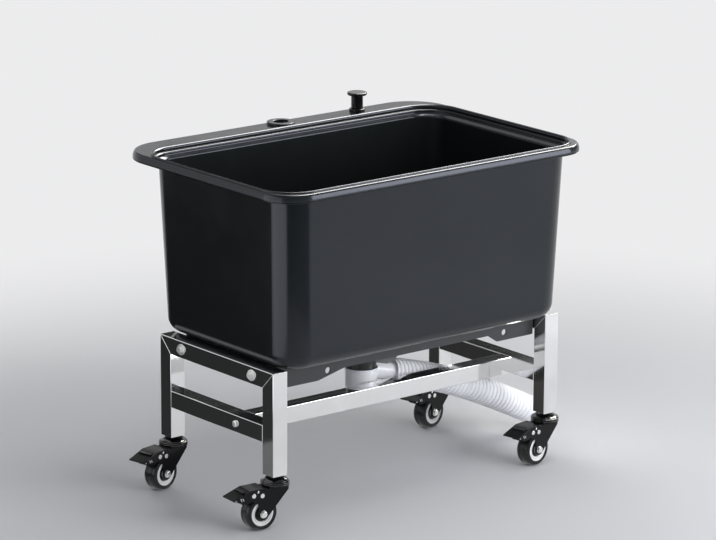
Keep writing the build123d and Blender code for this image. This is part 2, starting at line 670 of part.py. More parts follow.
def axle():
    """Axle bolt with its head and nut, clamped on the cheeks."""
    reach = CHEEK_OUTER
    shank = cylinder_along("Y", AXLE_R, 2 * reach, (-CASTER_TRAIL, -reach, WHEEL_R))
    head = cylinder_along("Y", AXLE_HEAD_R, AXLE_HEAD_H, (-CASTER_TRAIL, -reach - AXLE_HEAD_H, WHEEL_R))
    rim = head.edges().filter_by(lambda e: abs(e.center().Y + reach + AXLE_HEAD_H) < 0.01)
    head = fillet(rim, AXLE_HEAD_H / 3)
    nut = hexagon_along("Y", AXLE_HEAD_R, AXLE_HEAD_H, (-CASTER_TRAIL, reach, WHEEL_R))
    return shank + head + nut


def wheel_ring(points):
    """Ring about the axle from half-section points of (radius, offset along the axle)."""
    face = make_face(Polyline(*points, points[0]))
    ring = revolve(Plane.XZ * face, Axis.Z)
    return Pos(-CASTER_TRAIL, 0, WHEEL_R) * Rot(90, 0, 0) * ring


def hub():
    """White wheel centre: raised ring, recessed web and bored boss."""
    half = WHEEL_WIDTH / 2
    web = half - HUB_RECESS
    step = HUB_R - HUB_RING
    face = half - HUB_FACE_STEP
    return wheel_ring([
        (HUB_BORE_R, -half), (HUB_BOSS_R, -half), (HUB_BOSS_R, -web), (step, -web), (step, -face),
        (HUB_R, -face), (HUB_R, face), (step, face), (step, web), (HUB_BOSS_R, web),
        (HUB_BOSS_R, half), (HUB_BORE_R, half),
    ])


def tyre():
    half = WHEEL_WIDTH / 2
    shoulder = WHEEL_R - WHEEL_CROWN
    edge = half - WHEEL_CROWN
    upper = [
        (HUB_R, half - HUB_FACE_STEP), (HUB_R + TYRE_BEAD, half), (shoulder - TYRE_FLAT, half),
        (shoulder, half - TYRE_ROUND), (WHEEL_R - TYRE_ROUND, edge), (WHEEL_R, edge - TYRE_TREAD_INSET),
    ]
    lower = [(radius, -offset) for radius, offset in reversed(upper)]
    return wheel_ring(upper + lower)


def rivets():
    """Cheek rivet and the pedal's pivot rivet of one caster."""
    solids = []
    for x, z, reach in ((RIVET_X, RIVET_Z, CHEEK_OUTER), (PEDAL_PIVOT_X, PEDAL_PIVOT_Z, PIVOT_REACH)):
        pin = cylinder_along("Y", RIVET_R, 2 * reach, (x, -reach, z))
        for start in (-reach - RIVET_HEAD_H, reach):
            pin += cylinder_along("Y", RIVET_HEAD_R, RIVET_HEAD_H, (x, start, z))
        solids.append(pin)
    return group(solids)


def shoe_face():
    """Unlocked place of the shoe's lower tip, from its gap to the tyre when the pedal is down."""
    turn = math.radians(PEDAL_TRAVEL)
    drop = -SHOE_DROP
    reach = WHEEL_R + SHOE_GAP_LOCKED
    low, high = -SHOE_LENGTH, SHOE_LENGTH
    for _ in range(40):
        guess = (low + high) / 2
        x = PEDAL_PIVOT_X + guess * math.cos(turn) - drop * math.sin(turn) + CASTER_TRAIL
        z = PEDAL_PIVOT_Z + guess * math.sin(turn) + drop * math.cos(turn) - WHEEL_R
        if math.hypot(x, z) > reach:
            low = guess
        else:
            high = guess
    return PEDAL_PIVOT_X + low


def pedal():
    """Brake pedal: bent plate with side flanges, pivot holes and a shoe behind the wheel."""
    under = PEDAL_TOP_Z - PEDAL_T
    top = Polyline(
        (PEDAL_ROOT_X, under), (PEDAL_ROOT_X, PEDAL_TOP_Z), (PEDAL_KNEE_X, PEDAL_TOP_Z),
        (PEDAL_TIP_X, PEDAL_TIP_Z), (PEDAL_TIP_X, PEDAL_TIP_Z - PEDAL_T), (PEDAL_KNEE_X, under),
        (PEDAL_ROOT_X, under),
    )
    plate = extrude(Plane.XZ * make_face(top), PEDAL_OUTER, both=True)
    flange_low = PEDAL_PIVOT_Z - RIVET_HEAD_R - PEDAL_EAR
    ear = (PEDAL_PIVOT_X + PEDAL_EAR_REACH, PEDAL_TOP_Z)
    side = Polyline(
        ear, (PEDAL_PIVOT_X + PEDAL_FOOT_REACH, flange_low + PEDAL_EAR), (PEDAL_PIVOT_X, flange_low),
        (PEDAL_TIP_X + PEDAL_CHIN, flange_low - PEDAL_CHIN_DROP), (PEDAL_TIP_X, PEDAL_TIP_Z - PEDAL_T),
        (PEDAL_TIP_X, PEDAL_TIP_Z), (PEDAL_KNEE_X, PEDAL_TOP_Z), ear,
    )
    for sign in (-1, 1):
        middle = sign * (PEDAL_INNER + PEDAL_FLANGE_T / 2)
        plate += Pos(0, middle, 0) * extrude(Plane.XZ * make_face(side), PEDAL_FLANGE_T / 2, both=True)
    low_z = PEDAL_PIVOT_Z - SHOE_DROP
    half_y = CHEEK_INNER - SHOE_SIDE_GAP
    shoe_x = FORK_TAIL - SHOE_TAIL_GAP
    plate += block(shoe_x - SHOE_LENGTH, shoe_x, -half_y, half_y, low_z + SHOE_T - OVER, under)
    plate += block(shoe_x - SHOE_LENGTH, shoe_face(), -half_y, half_y, low_z, low_z + SHOE_T)
    start = (PEDAL_PIVOT_X, -PEDAL_OUTER - OVER, PEDAL_PIVOT_Z)
    return plate - cylinder_along("Y", RIVET_R + RIVET_FIT, 2 * (PEDAL_OUTER + OVER), start)


def write_casters():
    """All the pieces of the four casters at their swivel angles."""
    inserts, kingpins = [], []
    for name, side_x, side_y, angle in CASTERS:
        x, y = side_x * LEG_X, side_y * LEG_Y
        place = Pos(x, y, 0) * Rot(0, 0, angle)
        inserts.append(leg_insert(x, y))
        kingpins.append(Pos(x, y, 0) * kingpin())
        write(Pos(x, y, 0) * raceway(), f"{name}_caster_raceway")
        write(place * fork(), f"{name}_caster_fork")
        write(place * axle(), f"{name}_caster_axle")
        write(place * hub(), f"{name}_wheel_hub")
        write(place * tyre(), f"{name}_wheel_tyre")
        write(place * rivets(), f"{name}_caster_rivets")
        write(place * pedal(), f"{name}_brake_pedal")
    write(group(inserts), "leg_inserts")
    write(group(kingpins), "caster_kingpins")


# ---- drain ----
def ring(r_out, r_in, z0, z1):
    outer = cylinder_along("Z", r_out, z1 - z0, (0, 0, z0))
    return outer - cylinder_along("Z", r_in, z1 - z0 + 2 * OVER, (0, 0, z0 - OVER))


def strainer_flange():
    """Polished flange in the tub floor with its threaded tail and basket ledge."""
    flange = cylinder_along("Z", FLANGE_R, FLANGE_T, (0, 0, STRAINER_SEAT))
    body = flange + cylinder_along("Z", FLANGE_TUBE_R, STRAINER_SEAT - TAIL_BOTTOM, (0, 0, TAIL_BOTTOM))
    body -= cylinder_along("Z", FLANGE_BORE_R, STRAINER_SEAT + FLANGE_T - BASKET_SEAT, (0, 0, BASKET_SEAT))
    return body - cylinder_along("Z", STRAINER_LEDGE_R, 2 * TAIL_FLOOR_T, (0, 0, TAIL_BOTTOM - OVER))


def strainer_basket():
    """Basket that stands on the flange's ledge, with a ring of drain holes."""
    basket = ring(BASKET_R, BASKET_R - BASKET_WALL, BASKET_SEAT, BASKET_SEAT + BASKET_DEPTH)
    basket += ring(BASKET_R, PLUG_STEM_R + STEM_FIT, BASKET_SEAT, BASKET_SEAT + BASKET_WALL)
    for k in range(BASKET_HOLES):
        start = (BASKET_HOLE_CIRCLE, 0, BASKET_SEAT - OVER)
        hole = cylinder_along("Z", BASKET_HOLE_R, 2 * BASKET_WALL, start)
        basket -= Rot(0, 0, 360 * k / BASKET_HOLES) * hole
    return basket


def drain_plug():
    """Plug over the basket's holes, guided by its stem, that lifts to let the water out."""
    foot = BASKET_SEAT + BASKET_WALL + PLUG_GAP
    plug = cylinder_along("Z", PLUG_R, PLUG_HEIGHT, (0, 0, foot))
    rim = plug.edges().filter_by(lambda e: abs(e.center().Z - foot - PLUG_HEIGHT) < 0.01)
    plug = fillet(rim, PLUG_HEIGHT / 4)
    return plug + cylinder_along("Z", PLUG_STEM_R, PLUG_STEM_DROP, (0, 0, foot - PLUG_STEM_DROP))


def strainer_body():
    """Black tailpiece under the tub, standing in the cup's mouth."""
    shell = cylinder_along("Z", STRAINER_R, TAIL_BOTTOM - CUP_SEAT, (0, 0, CUP_SEAT))
    lip_r = CUP_R - CUP_WALL - SEAT_GAP
    shell += cylinder_along("Z", lip_r, CUP_LIP_HEIGHT, (0, 0, CUP_SEAT))
    return shell - cylinder_along("Z", STRAINER_LEDGE_R, TAIL_BOTTOM, (0, 0, CUP_SEAT - OVER))


def cable_inlet():
    """Black side housing that takes the lift cable into the strainer body."""
    outline = Polyline(
        (0, INLET_BOTTOM), (0, INLET_TOP), (INLET_LENGTH, INLET_TOP),
        (INLET_LENGTH - INLET_SLANT, INLET_BOTTOM), (0, INLET_BOTTOM),
    )
    housing = extrude(Plane.XZ * make_face(outline), INLET_HALF_WIDTH, both=True)
    height = INLET_TOP - INLET_BOTTOM
    housing -= cylinder_along("Z", STRAINER_R, height + 2 * OVER, (0, 0, INLET_BOTTOM - OVER))
    housing -= cylinder_along("Z", CUP_R + SEAT_GAP, height, (0, 0, CUP_TOP + SEAT_GAP - height))
    housing -= spigot_rod(SOCKET_R + SEAT_GAP)
    centre_z = INLET_TOP - CABLE_NUT_R
    housing += hexagon_along("X", CABLE_NUT_R, CABLE_NUT_LENGTH, (INLET_LENGTH, 0, centre_z))
    reach = INLET_LENGTH + CABLE_NUT_LENGTH - STRAINER_R
    return housing - cylinder_along("X", CABLE_HOLE_R, reach, (STRAINER_R + CUP_WALL, 0, centre_z))


def socket_frame():
    """Plane at the hose's start, its normal along the first run of the route."""
    (x0, z0), (x1, z1) = HOSE_ROUTE[0], HOSE_ROUTE[1]
    return Plane(origin=(x0, 0, z0), x_dir=(0, 1, 0), z_dir=(x1 - x0, 0, z1 - z0))


def spigot_rod(radius):
    """Round bar on the outlet's axis, from the hose's start back into the cup."""
    return extrude(socket_frame() * Circle(radius), -math.dist((0, CUP_TOP), HOSE_ROUTE[0]))


def trap_cup():
    """White cup with its lip, its outlet spigot and the collar that the hose seats on."""
    inner = CUP_R - CUP_LIP - CUP_WALL
    cup = cylinder_along("Z", CUP_R - CUP_LIP, CUP_TOP - CUP_BOTTOM, (0, 0, CUP_BOTTOM))
    cup += cylinder_along("Z", CUP_R, CUP_LIP_HEIGHT, (0, 0, CUP_SEAT))
    base = cup.edges().filter_by(lambda e: abs(e.center().Z - CUP_BOTTOM) < 0.01)
    cup = fillet(base, 2 * CUP_WALL)
    cup += spigot_rod(SOCKET_R) - block(-CUP_R, 0, -CUP_R, CUP_R, CUP_BOTTOM, CUP_TOP + CUP_R)
    cup += extrude(socket_frame() * Circle(COLLAR_FLANGE_R), -COLLAR_FLANGE_T)
    cup -= cylinder_along("Z", inner, CUP_TOP, (0, 0, CUP_BOTTOM + CUP_WALL))
    cup -= cylinder_along("Z", CUP_R - CUP_WALL, 2 * CUP_R, (0, 0, CUP_SEAT))
    return cup - spigot_rod(SOCKET_BORE_R)


def route_radii():
    """Bend radius at each inner point: 0.45 of the shorter run over the tangent of half the turn."""
    radii = []
    for before, here, after in zip(HOSE_ROUTE, HOSE_ROUTE[1:], HOSE_ROUTE[2:]):
        run_in = (here[0] - before[0], here[1] - before[1])
        run_out = (after[0] - here[0], after[1] - here[1])
        turn = math.atan2(run_out[1], run_out[0]) - math.atan2(run_in[1], run_in[0])
        shorter = min(math.hypot(*run_in), math.hypot(*run_out))
        radii.append(0.45 * shorter / math.tan(abs(turn) / 2))
    return radii


def hose_path():
    points = [(x, 0, z) for x, z in HOSE_ROUTE]
    return FilletPolyline(*points, radius=route_radii())


def hose():
    """Ribbed hose along the route: a ruled loft through four circles for each rib."""
    path = Wire(hose_path().edges())
    length = path.length
    ribs = round(length / HOSE_RIB_PITCH)
    pitch = length / ribs
    shares = (0.0, 0.28, 0.5, 0.78)
    radii = (HOSE_VALLEY_R, HOSE_VALLEY_R, HOSE_R, HOSE_R)
    sections = []
    for k in range(ribs):
        for share, radius in zip(shares, radii):
            sections.append(hose_circle(path, (k + share) * pitch / length, radius))
    sections.append(hose_circle(path, 1.0, HOSE_VALLEY_R))
    outer = Solid.make_loft(sections, True)
    bore = sweep(Plane(origin=path @ 0, x_dir=(0, 1, 0), z_dir=path % 0) * Circle(HOSE_BORE_R), path=path)
    solid = outer - bore
    mean = math.pi * (((HOSE_R + HOSE_VALLEY_R) / 2) ** 2 - HOSE_BORE_R ** 2) * length
    print("hose length", round(length, 1), "ribs", ribs, "pitch", round(pitch, 2))
    print("hose bend radii", [round(r) for r in route_radii()])
    print("hose volume", round(solid.volume), "plain tube of the mean wall", round(mean))
    return solid


def hose_circle(path, place, radius):
    frame = Plane(origin=path @ place, x_dir=(0, 1, 0), z_dir=path % place)
    return (frame * Circle(radius)).wire()


def hose_cuff():
    """Plain cuff on the hose's open end."""
    (x0, z0), (x1, z1) = HOSE_ROUTE[-2], HOSE_ROUTE[-1]
    mouth = Plane(origin=(x1, 0, z1), x_dir=(0, 1, 0), z_dir=(x1 - x0, 0, z1 - z0))
    return extrude(mouth * (Circle(CUFF_R) - Circle(HOSE_BORE_R)), CUFF_LENGTH)


def write_drain():
    write(strainer_flange(), "strainer_flange")
    write(strainer_basket(), "strainer_basket")
    write(drain_plug(), "drain_plug")
    write(ring(GASKET_R, FLANGE_TUBE_R, WELL_BOTTOM - GASKET_T, WELL_BOTTOM), "drain_gasket")
    nut_bottom = WELL_BOTTOM - GASKET_T - DRAIN_NUT_H
    nut = extrude(RegularPolygon(DRAIN_NUT_R, DRAIN_NUT_SIDES), DRAIN_NUT_H)
    bore = cylinder_along("Z", FLANGE_TUBE_R, DRAIN_NUT_H + 2 * OVER, (0, 0, -OVER))
    write(Pos(0, 0, nut_bottom) * (nut - bore), "drain_locknut")
    write(strainer_body(), "strainer_body")
    write(cable_inlet(), "cable_inlet")
    write(trap_cup(), "trap_cup")
    write(hose(), "drain_hose")
    write(hose_cuff(), "hose_cuff")


# ---- deck knob ----
def knob_sleeve():
    """Fixed sleeve through the deck with its round base."""
    base = cylinder_along("Z", KNOB_BASE_R, KNOB_BASE_HEIGHT, (KNOB_X, DECK_Y, DECK_TOP))
    rim = base.edges().filter_by(lambda e: abs(e.center().Z - DECK_TOP - KNOB_BASE_HEIGHT) < 0.01)
    base = fillet(rim, KNOB_BASE_EDGE)
    foot = DECK_TOP - KNOB_SLEEVE_LENGTH
    sleeve = cylinder_along("Z", KNOB_SLEEVE_R, KNOB_SLEEVE_LENGTH, (KNOB_X, DECK_Y, foot))
    bore = KNOB_SLEEVE_R - KNOB_SLEEVE_WALL
    length = KNOB_SLEEVE_LENGTH + KNOB_BASE_HEIGHT + 2 * OVER
    return base + sleeve - cylinder_along("Z", bore, length, (KNOB_X, DECK_Y, foot - OVER))


def lift_knob():
    """Mushroom knob with its core in the sleeve."""
    foot = DECK_TOP + KNOB_BASE_HEIGHT + KNOB_REST_GAP
    top = DECK_TOP + KNOB_HEIGHT
    stem = cylinder_along("Z", KNOB_STEM_R, top - KNOB_DISC_HEIGHT - foot, (KNOB_X, DECK_Y, foot))
    disc = cylinder_along("Z", KNOB_DISC_R, KNOB_DISC_HEIGHT, (KNOB_X, DECK_Y, top - KNOB_DISC_HEIGHT))
    disc = fillet(disc.edges().filter_by(GeomType.CIRCLE), KNOB_DISC_HEIGHT * 0.4)
    core_bottom = DECK_TOP - KNOB_SLEEVE_LENGTH + KNOB_CORE_RISE
    core = cylinder_along("Z", KNOB_CORE_R, foot - core_bottom + OVER, (KNOB_X, DECK_Y, core_bottom))
    return stem + disc + core


def write_knob():
    under = DECK_TOP - RIM_WALL
    write(knob_sleeve(), "knob_sleeve")
    write(lift_knob(), "lift_knob")
    gasket = cylinder_along("Z", KNOB_GASKET_R, KNOB_GASKET_T, (KNOB_X, DECK_Y, under - KNOB_GASKET_T))
    nut_bottom = under - KNOB_GASKET_T - KNOB_NUT_H
    height = KNOB_NUT_H + KNOB_GASKET_T + 2 * OVER
    hole = cylinder_along("Z", KNOB_SLEEVE_R, height, (KNOB_X, DECK_Y, nut_bottom - OVER))
    write(gasket - hole, "knob_gasket")
    nut = hexagon_along("Z", KNOB_NUT_R, KNOB_NUT_H, (KNOB_X, DECK_Y, nut_bottom))
    write(nut - hole, "knob_locknut")


def write_frame():
    for side, side_x in (("left", -1), ("right", 1)):
        write(leg(side_x, -1), f"{side}_front_leg")
        write(leg(side_x, 1), f"{side}_rear_leg")
        write(top_rail(side_x), f"{side}_top_rail")
        write(lower_rail(side_x), f"{side}_lower_rail")
    write(long_rail(), "long_rail")
    write(long_rail_plugs(), "long_rail_plugs")
    write(long_rail_bolts(), "long_rail_bolts")
    bolts, washers, nuts = skirt_fixings()
    write(bolts, "skirt_bolts")
    write(washers, "skirt_washers")
    write(nuts, "skirt_nuts")


os.makedirs("parts", exist_ok=True)
write(tub(), "tub")
write(skirt(), "skirt")
write_frame()
write_casters()
write_drain()
write_knob()
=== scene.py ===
"""Dressed utility laundry sink: camera, looks, tub, hose, frame, casters, fittings and studio."""
import json
import math

import bmesh
import bpy
from mathutils import Matrix, Vector


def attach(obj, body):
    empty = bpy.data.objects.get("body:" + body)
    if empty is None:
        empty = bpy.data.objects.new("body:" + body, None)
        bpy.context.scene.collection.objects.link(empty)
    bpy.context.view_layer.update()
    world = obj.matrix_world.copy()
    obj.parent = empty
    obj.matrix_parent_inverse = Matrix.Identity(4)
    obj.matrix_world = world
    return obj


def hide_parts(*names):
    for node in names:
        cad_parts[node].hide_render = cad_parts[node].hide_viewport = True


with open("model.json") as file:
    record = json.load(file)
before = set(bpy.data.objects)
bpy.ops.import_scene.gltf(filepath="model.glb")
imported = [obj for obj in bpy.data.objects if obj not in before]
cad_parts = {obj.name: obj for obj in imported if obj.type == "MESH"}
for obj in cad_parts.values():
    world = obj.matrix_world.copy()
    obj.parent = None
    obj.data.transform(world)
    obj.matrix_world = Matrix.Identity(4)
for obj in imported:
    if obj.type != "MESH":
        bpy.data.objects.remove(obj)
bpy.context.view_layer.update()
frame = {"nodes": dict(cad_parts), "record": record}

# ---------------------------------------------------------------- measures
# Lengths are millimetres from the frame's centre, until point() turns them into metres.
MM = 0.001
SHIFT = Vector((0.0361000587, -0.025, 0.0))

BODY_HALF_LENGTH, BODY_HALF_DEPTH, BODY_CORNER = 395.0, 248.0, 62.0
BODY_DRAFT = math.tan(math.radians(2.1))
FRAME_TOP, BODY_TOP, RIM_TOP = 341.0, 718.0, 739.0
TUB_WALL, BODY_FILLET, LEAST_CORNER = 4.5, 34.0, 6.0
WALL_LEVELS = (450, 550, 650)
OPEN_X, OPEN_Y, OPEN_R = 404.0, 249.0, 68.0
BEAD_WIDTH, BEAD_HEIGHT, BEAD_BACK, LEDGE = 13.0, 3.0, 2.2, 20.0
STEP, STEP_Z, STEP_GROOVE, BEAD_R = 3.8, 728.5, (0.5, 0.4), 6.0
RIM_X, RIM_FRONT, RIM_REAR = 425.0, 276.0, 326.0
RIM_FRONT_R, RIM_REAR_R, RIM_ROLL, RIM_WALL = 75.0, 97.0, 6.5, 4.0
RIM_GROOVE, RIM_GROOVE_LEVELS, RIM_FOOT_R = 0.9, (3.5, 3.0, 2.4, 1.9), 1.6
DECK_Y, TAP_X, TAP_R, BOSS_R, BOSS_H, BOSS_EDGE = 294.0, 4.0, 17.5, 32.0, 6.0, 2.2
KNOB_X, KNOB_HOLE_R = 221.0, 11.0
WELL_R, WELL_BOTTOM, WELL_EDGE = 52.0, 333.0, 1.5
DISH_R, DISH_Z, DRAIN_R = 46.0, 343.0, 32.0

LEG_X, LEG_Y, TUBE, LOWER_RAIL_TOP = 379.0, 182.0, 38.0, 221.0
FRAME_HALF_LENGTH, FRAME_HALF_DEPTH = 398.0, 201.0
WELD_R, WELD_INSET = 0.7, 1

HOSE_ROUTE = [(86, 216.4), (149.8, 199.5), (213.9, 179.9), (276.8, 156.9),
              (338.3, 130.3), (398.8, 101.6), (458.8, 71.7), (517.4, 41.3)]
HOSE_LENGTH, HOSE_RIBS, HOSE_SEGMENTS = 0.467, 41, 72
HOSE_R, HOSE_VALLEY, HOSE_BORE = 31.5, 29.0, 26.8
# One rib: (share of the pitch, radius).
RIB = [(0.0, HOSE_VALLEY), (0.10, HOSE_VALLEY), (0.18, HOSE_VALLEY + 1.2), (0.28, HOSE_R - 0.4),
       (0.42, HOSE_R), (0.70, HOSE_R), (0.84, HOSE_R - 0.4), (0.93, HOSE_VALLEY + 1.2)]
CUFF_R, CUFF_WAIST_R, CUFF_LENGTH = 32.5, 31.6, 22

# Each caster: side along X, side along Y, and how far it is turned, in degrees.
CASTERS = {
    "front_left": (-1, -1, -5.0), "front_right": (1, -1, 9.0),
    "rear_left": (-1, 1, 11.0), "rear_right": (1, 1, 11.0),
}
TRAIL, WHEEL_R, WHEEL_HALF = 41.0, 37.5, 16.0
CHEEK_OUTER, PEDAL_OUTER = 19.9, 22.7
# Wheel profiles: (radius, height over the wheel's side face).
TYRE_SIDE = [(27.0, -0.8), (28.2, 0), (31.0, 0), (31.6, -1.2), (32.6, -1.2), (33.2, -0.1),
             (34.6, -0.4), (35.9, -1.6), (36.7, -3.2), (37.5, -5.4), (37.5, -7.6), (36.3, -8.2),
             (36.3, -9.6), (37.5, -10.2)]
HUB_SIDE = [(4.08, 0), (8.2, 0), (9.0, -1.0), (9.6, -5), (17.4, -5), (18.5, -1.8), (21.0, -1.1),
            (21.5, -2.6), (22.5, -2.6), (23.0, -0.7), (26.2, -0.5), (27.0, -1.0)]
# Black ring laid in the hub's recess on each side, darkening the recess.
RECESS_RING = [(9.7, -4.9), (17.2, -4.9), (17.2, -3.9), (15.4, -3.3), (11.0, -3.3), (9.7, -3.9),
          (9.7, -4.9)]
# Trim profiles: (radius, height), the race's heights from the floor.
RACE_LIPS = [(27, 94.9), (30.4, 94.9), (31.4, 95.8), (31.4, 97.6), (30.3, 98.4), (30.3, 99.0),
             (31.4, 99.8), (31.4, 101.3), (30.2, 102.15), (27, 102.15), (27, 94.9)]
WASHER = [(4.2, 0), (8.4, 0), (8.4, 0.7), (7.9, 1.1), (4.2, 1.1), (4.2, 0)]
# Pedal studs: (x, z, radius). Ribs: the x of each foot, then (x from there, z) of its two ends.
PEDAL_STUDS = ((-56, 89.5, 2.4), (-111, 78.3, 1.5))
PEDAL_RIBS, RIB_ENDS, RIB_R = (-100, -95), ((0, 82.5), (3.5, 76.0)), 0.8


def point(x, y, z):
    """A place in millimetres from the frame's centre, as a point of the row."""
    return Vector((x * MM, y * MM, z * MM)) + SHIFT


def link(piece):
    """Put an object into the scene."""
    bpy.context.scene.collection.objects.link(piece)
    return piece


# ---------------------------------------------------------------- camera
# The view's angles, the focal length in pixels at this picture width, and the eye's place.
AZIMUTH, ELEVATION, ROLL = (math.radians(angle) for angle in (38.771, 14.677, 0.255))
FOCAL_PIXELS, PICTURE_WIDTH, SENSOR_WIDTH, FAR_CLIP = 4021.47, 716, 36.0, 60
EYE = (-5324.0, -6615.9, 2685.8)


def add_camera():
    forward = Vector((math.sin(AZIMUTH) * math.cos(ELEVATION),
                      math.cos(AZIMUTH) * math.cos(ELEVATION), -math.sin(ELEVATION)))
    right = Vector((math.cos(AZIMUTH), -math.sin(AZIMUTH), 0))
    up = right.cross(forward)
    right, up = (right * math.cos(ROLL) + up * math.sin(ROLL),
                 up * math.cos(ROLL) - right * math.sin(ROLL))
    data = bpy.data.cameras.new("camera")
    data.sensor_width = SENSOR_WIDTH
    data.lens = FOCAL_PIXELS / PICTURE_WIDTH * data.sensor_width
    data.clip_end = FAR_CLIP
    camera = link(bpy.data.objects.new("camera", data))
    turn = Matrix((right, up, -forward)).transposed().to_4x4()
    camera.matrix_world = Matrix.Translation(point(*EYE)) @ turn
    bpy.context.scene.camera = camera


add_camera()


# ---------------------------------------------------------------- materials
NOISE_LOW, NOISE_HIGH = 0.3, 0.7


def ranged(tree, value, low, high, start, end, easing="LINEAR"):
    """A value taken from one span of numbers to another."""
    node = tree.nodes.new("ShaderNodeMapRange")
    node.interpolation_type = easing
    for key, number in zip(("From Min", "From Max", "To Min", "To Max"), (low, high, start, end)):
        node.inputs[key].default_value = number
    tree.links.new(value, node.inputs["Value"])
    return node.outputs["Result"]


def combined(tree, operation, first, second):
    """Two values, each a socket or a plain number, joined by a math operation."""
    node = tree.nodes.new("ShaderNodeMath")
    node.operation = operation
    for socket, value in zip(node.inputs, (first, second)):
        if isinstance(value, float):
            socket.default_value = value
        else:
            tree.links.new(value, socket)
    return node.outputs["Value"]


def blended(tree, share, first, second):
    """Two shaders mixed by a share of the second."""
    node = tree.nodes.new("ShaderNodeMixShader")
    for socket, source in zip(node.inputs, (share, first, second)):
        tree.links.new(source, socket)
    return node.outputs["Shader"]


class Finish:
    """A node material on the Principled shader, patterned in the row's own coordinates."""

    def __init__(self, name, rough, metallic=0.0, **constants):
        self.material = bpy.data.materials.new(name)
        self.material.use_nodes = True
        self.tree = self.material.node_tree
        self.nodes, self.links = self.tree.nodes, self.tree.links
        self.shader = self.nodes["Principled BSDF"]
        self.shader.inputs["Roughness"].default_value = rough
        self.shader.inputs["Metallic"].default_value = metallic
        for key, value in constants.items():
            self.shader.inputs[key.replace("_", " ")].default_value = value
        self.place = self.nodes.new("ShaderNodeTexCoord").outputs["Object"]
        self.height = None

    def noise(self, scale, detail, roughness=0.5, stretch=(1, 1, 1)):
        mapping = self.nodes.new("ShaderNodeMapping")
        mapping.inputs["Scale"].default_value = stretch
        self.links.new(self.place, mapping.inputs["Vector"])
        node = self.nodes.new("ShaderNodeTexNoise")
        node.inputs["Scale"].default_value = scale
        node.inputs["Detail"].default_value = detail
        node.inputs["Roughness"].default_value = roughness
        self.links.new(mapping.outputs["Vector"], node.inputs["Vector"])
        return node.outputs["Fac"]

    def colour(self, value, dark, light):
        """Colour the surface by a value, between two linear colours."""
        ramp = self.nodes.new("ShaderNodeValToRGB")
        stops = zip(ramp.color_ramp.elements, (NOISE_LOW, NOISE_HIGH), (dark, light))
        for element, place, tone in stops:
            element.position = place
            element.color = (*tone, 1.0)
        self.links.new(value, ramp.inputs["Fac"])
        self.links.new(ramp.outputs["Color"], self.shader.inputs["Base Color"])

    def gloss(self, value, smooth, rough):
        """Set the roughness by a value."""
        result = ranged(self.tree, value, NOISE_LOW, NOISE_HIGH, smooth, rough)
        self.links.new(result, self.shader.inputs["Roughness"])

    def relief(self, value, depth):
        """Raise the surface by a value times a depth in metres."""
        bump = self.nodes.new("ShaderNodeBump")
        bump.inputs["Distance"].default_value = depth
        self.links.new(value, bump.inputs["Height"])
        if self.height is not None:
            self.links.new(self.height, bump.inputs["Normal"])
        self.height = bump.outputs["Normal"]
        self.links.new(self.height, self.shader.inputs["Normal"])


# Noise settings: (scale, detail[, roughness]).
DRIFT, UNEVEN_GLOSS = (9.0, 2.0), (24.0, 2.0, 0.4)
METAL_DRIFT, METAL_LINES, METAL_WAVES = (14.0, 2.0), (260.0, 4.0, 0.7), (26.0, 1.0)
GRAIN_PITCH, LINE_DEPTH, WAVE_DEPTH = 1400.0, 0.0000015, 0.00002


def moulded(name, dark, light, smooth, rough, grain, pitch=GRAIN_PITCH, **constants):
    """Moulded plastic: faint colour drift, uneven gloss and a fine grain."""
    finish = Finish(name, rough, **constants)
    finish.colour(finish.noise(*DRIFT), dark, light)
    finish.gloss(finish.noise(*UNEVEN_GLOSS), smooth, rough)
    finish.relief(finish.noise(pitch, 2.0), grain)
    return finish.material


def polished(name, dark, light, smooth, rough, stretch=(1, 1, 1)):
    """Polished metal with fine lines along a direction and a little waviness."""
    finish = Finish(name, rough, metallic=1.0)
    lines = finish.noise(*METAL_LINES, stretch)
    finish.colour(finish.noise(*METAL_DRIFT), dark, light)
    finish.gloss(lines, smooth, rough)
    finish.relief(lines, LINE_DEPTH)
    finish.relief(finish.noise(*METAL_WAVES), WAVE_DEPTH)
    return finish.material


def grey(value):
    return (value, value, value)


LINES_X, LINES_Y, LINES_Z = (0.02, 1, 1), (1, 0.02, 1), (1, 1, 0.02)
STEEL = ((0.80, 0.80, 0.805), (0.86, 0.86, 0.865), 0.05, 0.10)
PAINT = ((0.004, 0.004, 0.005), (0.007, 0.007, 0.008))
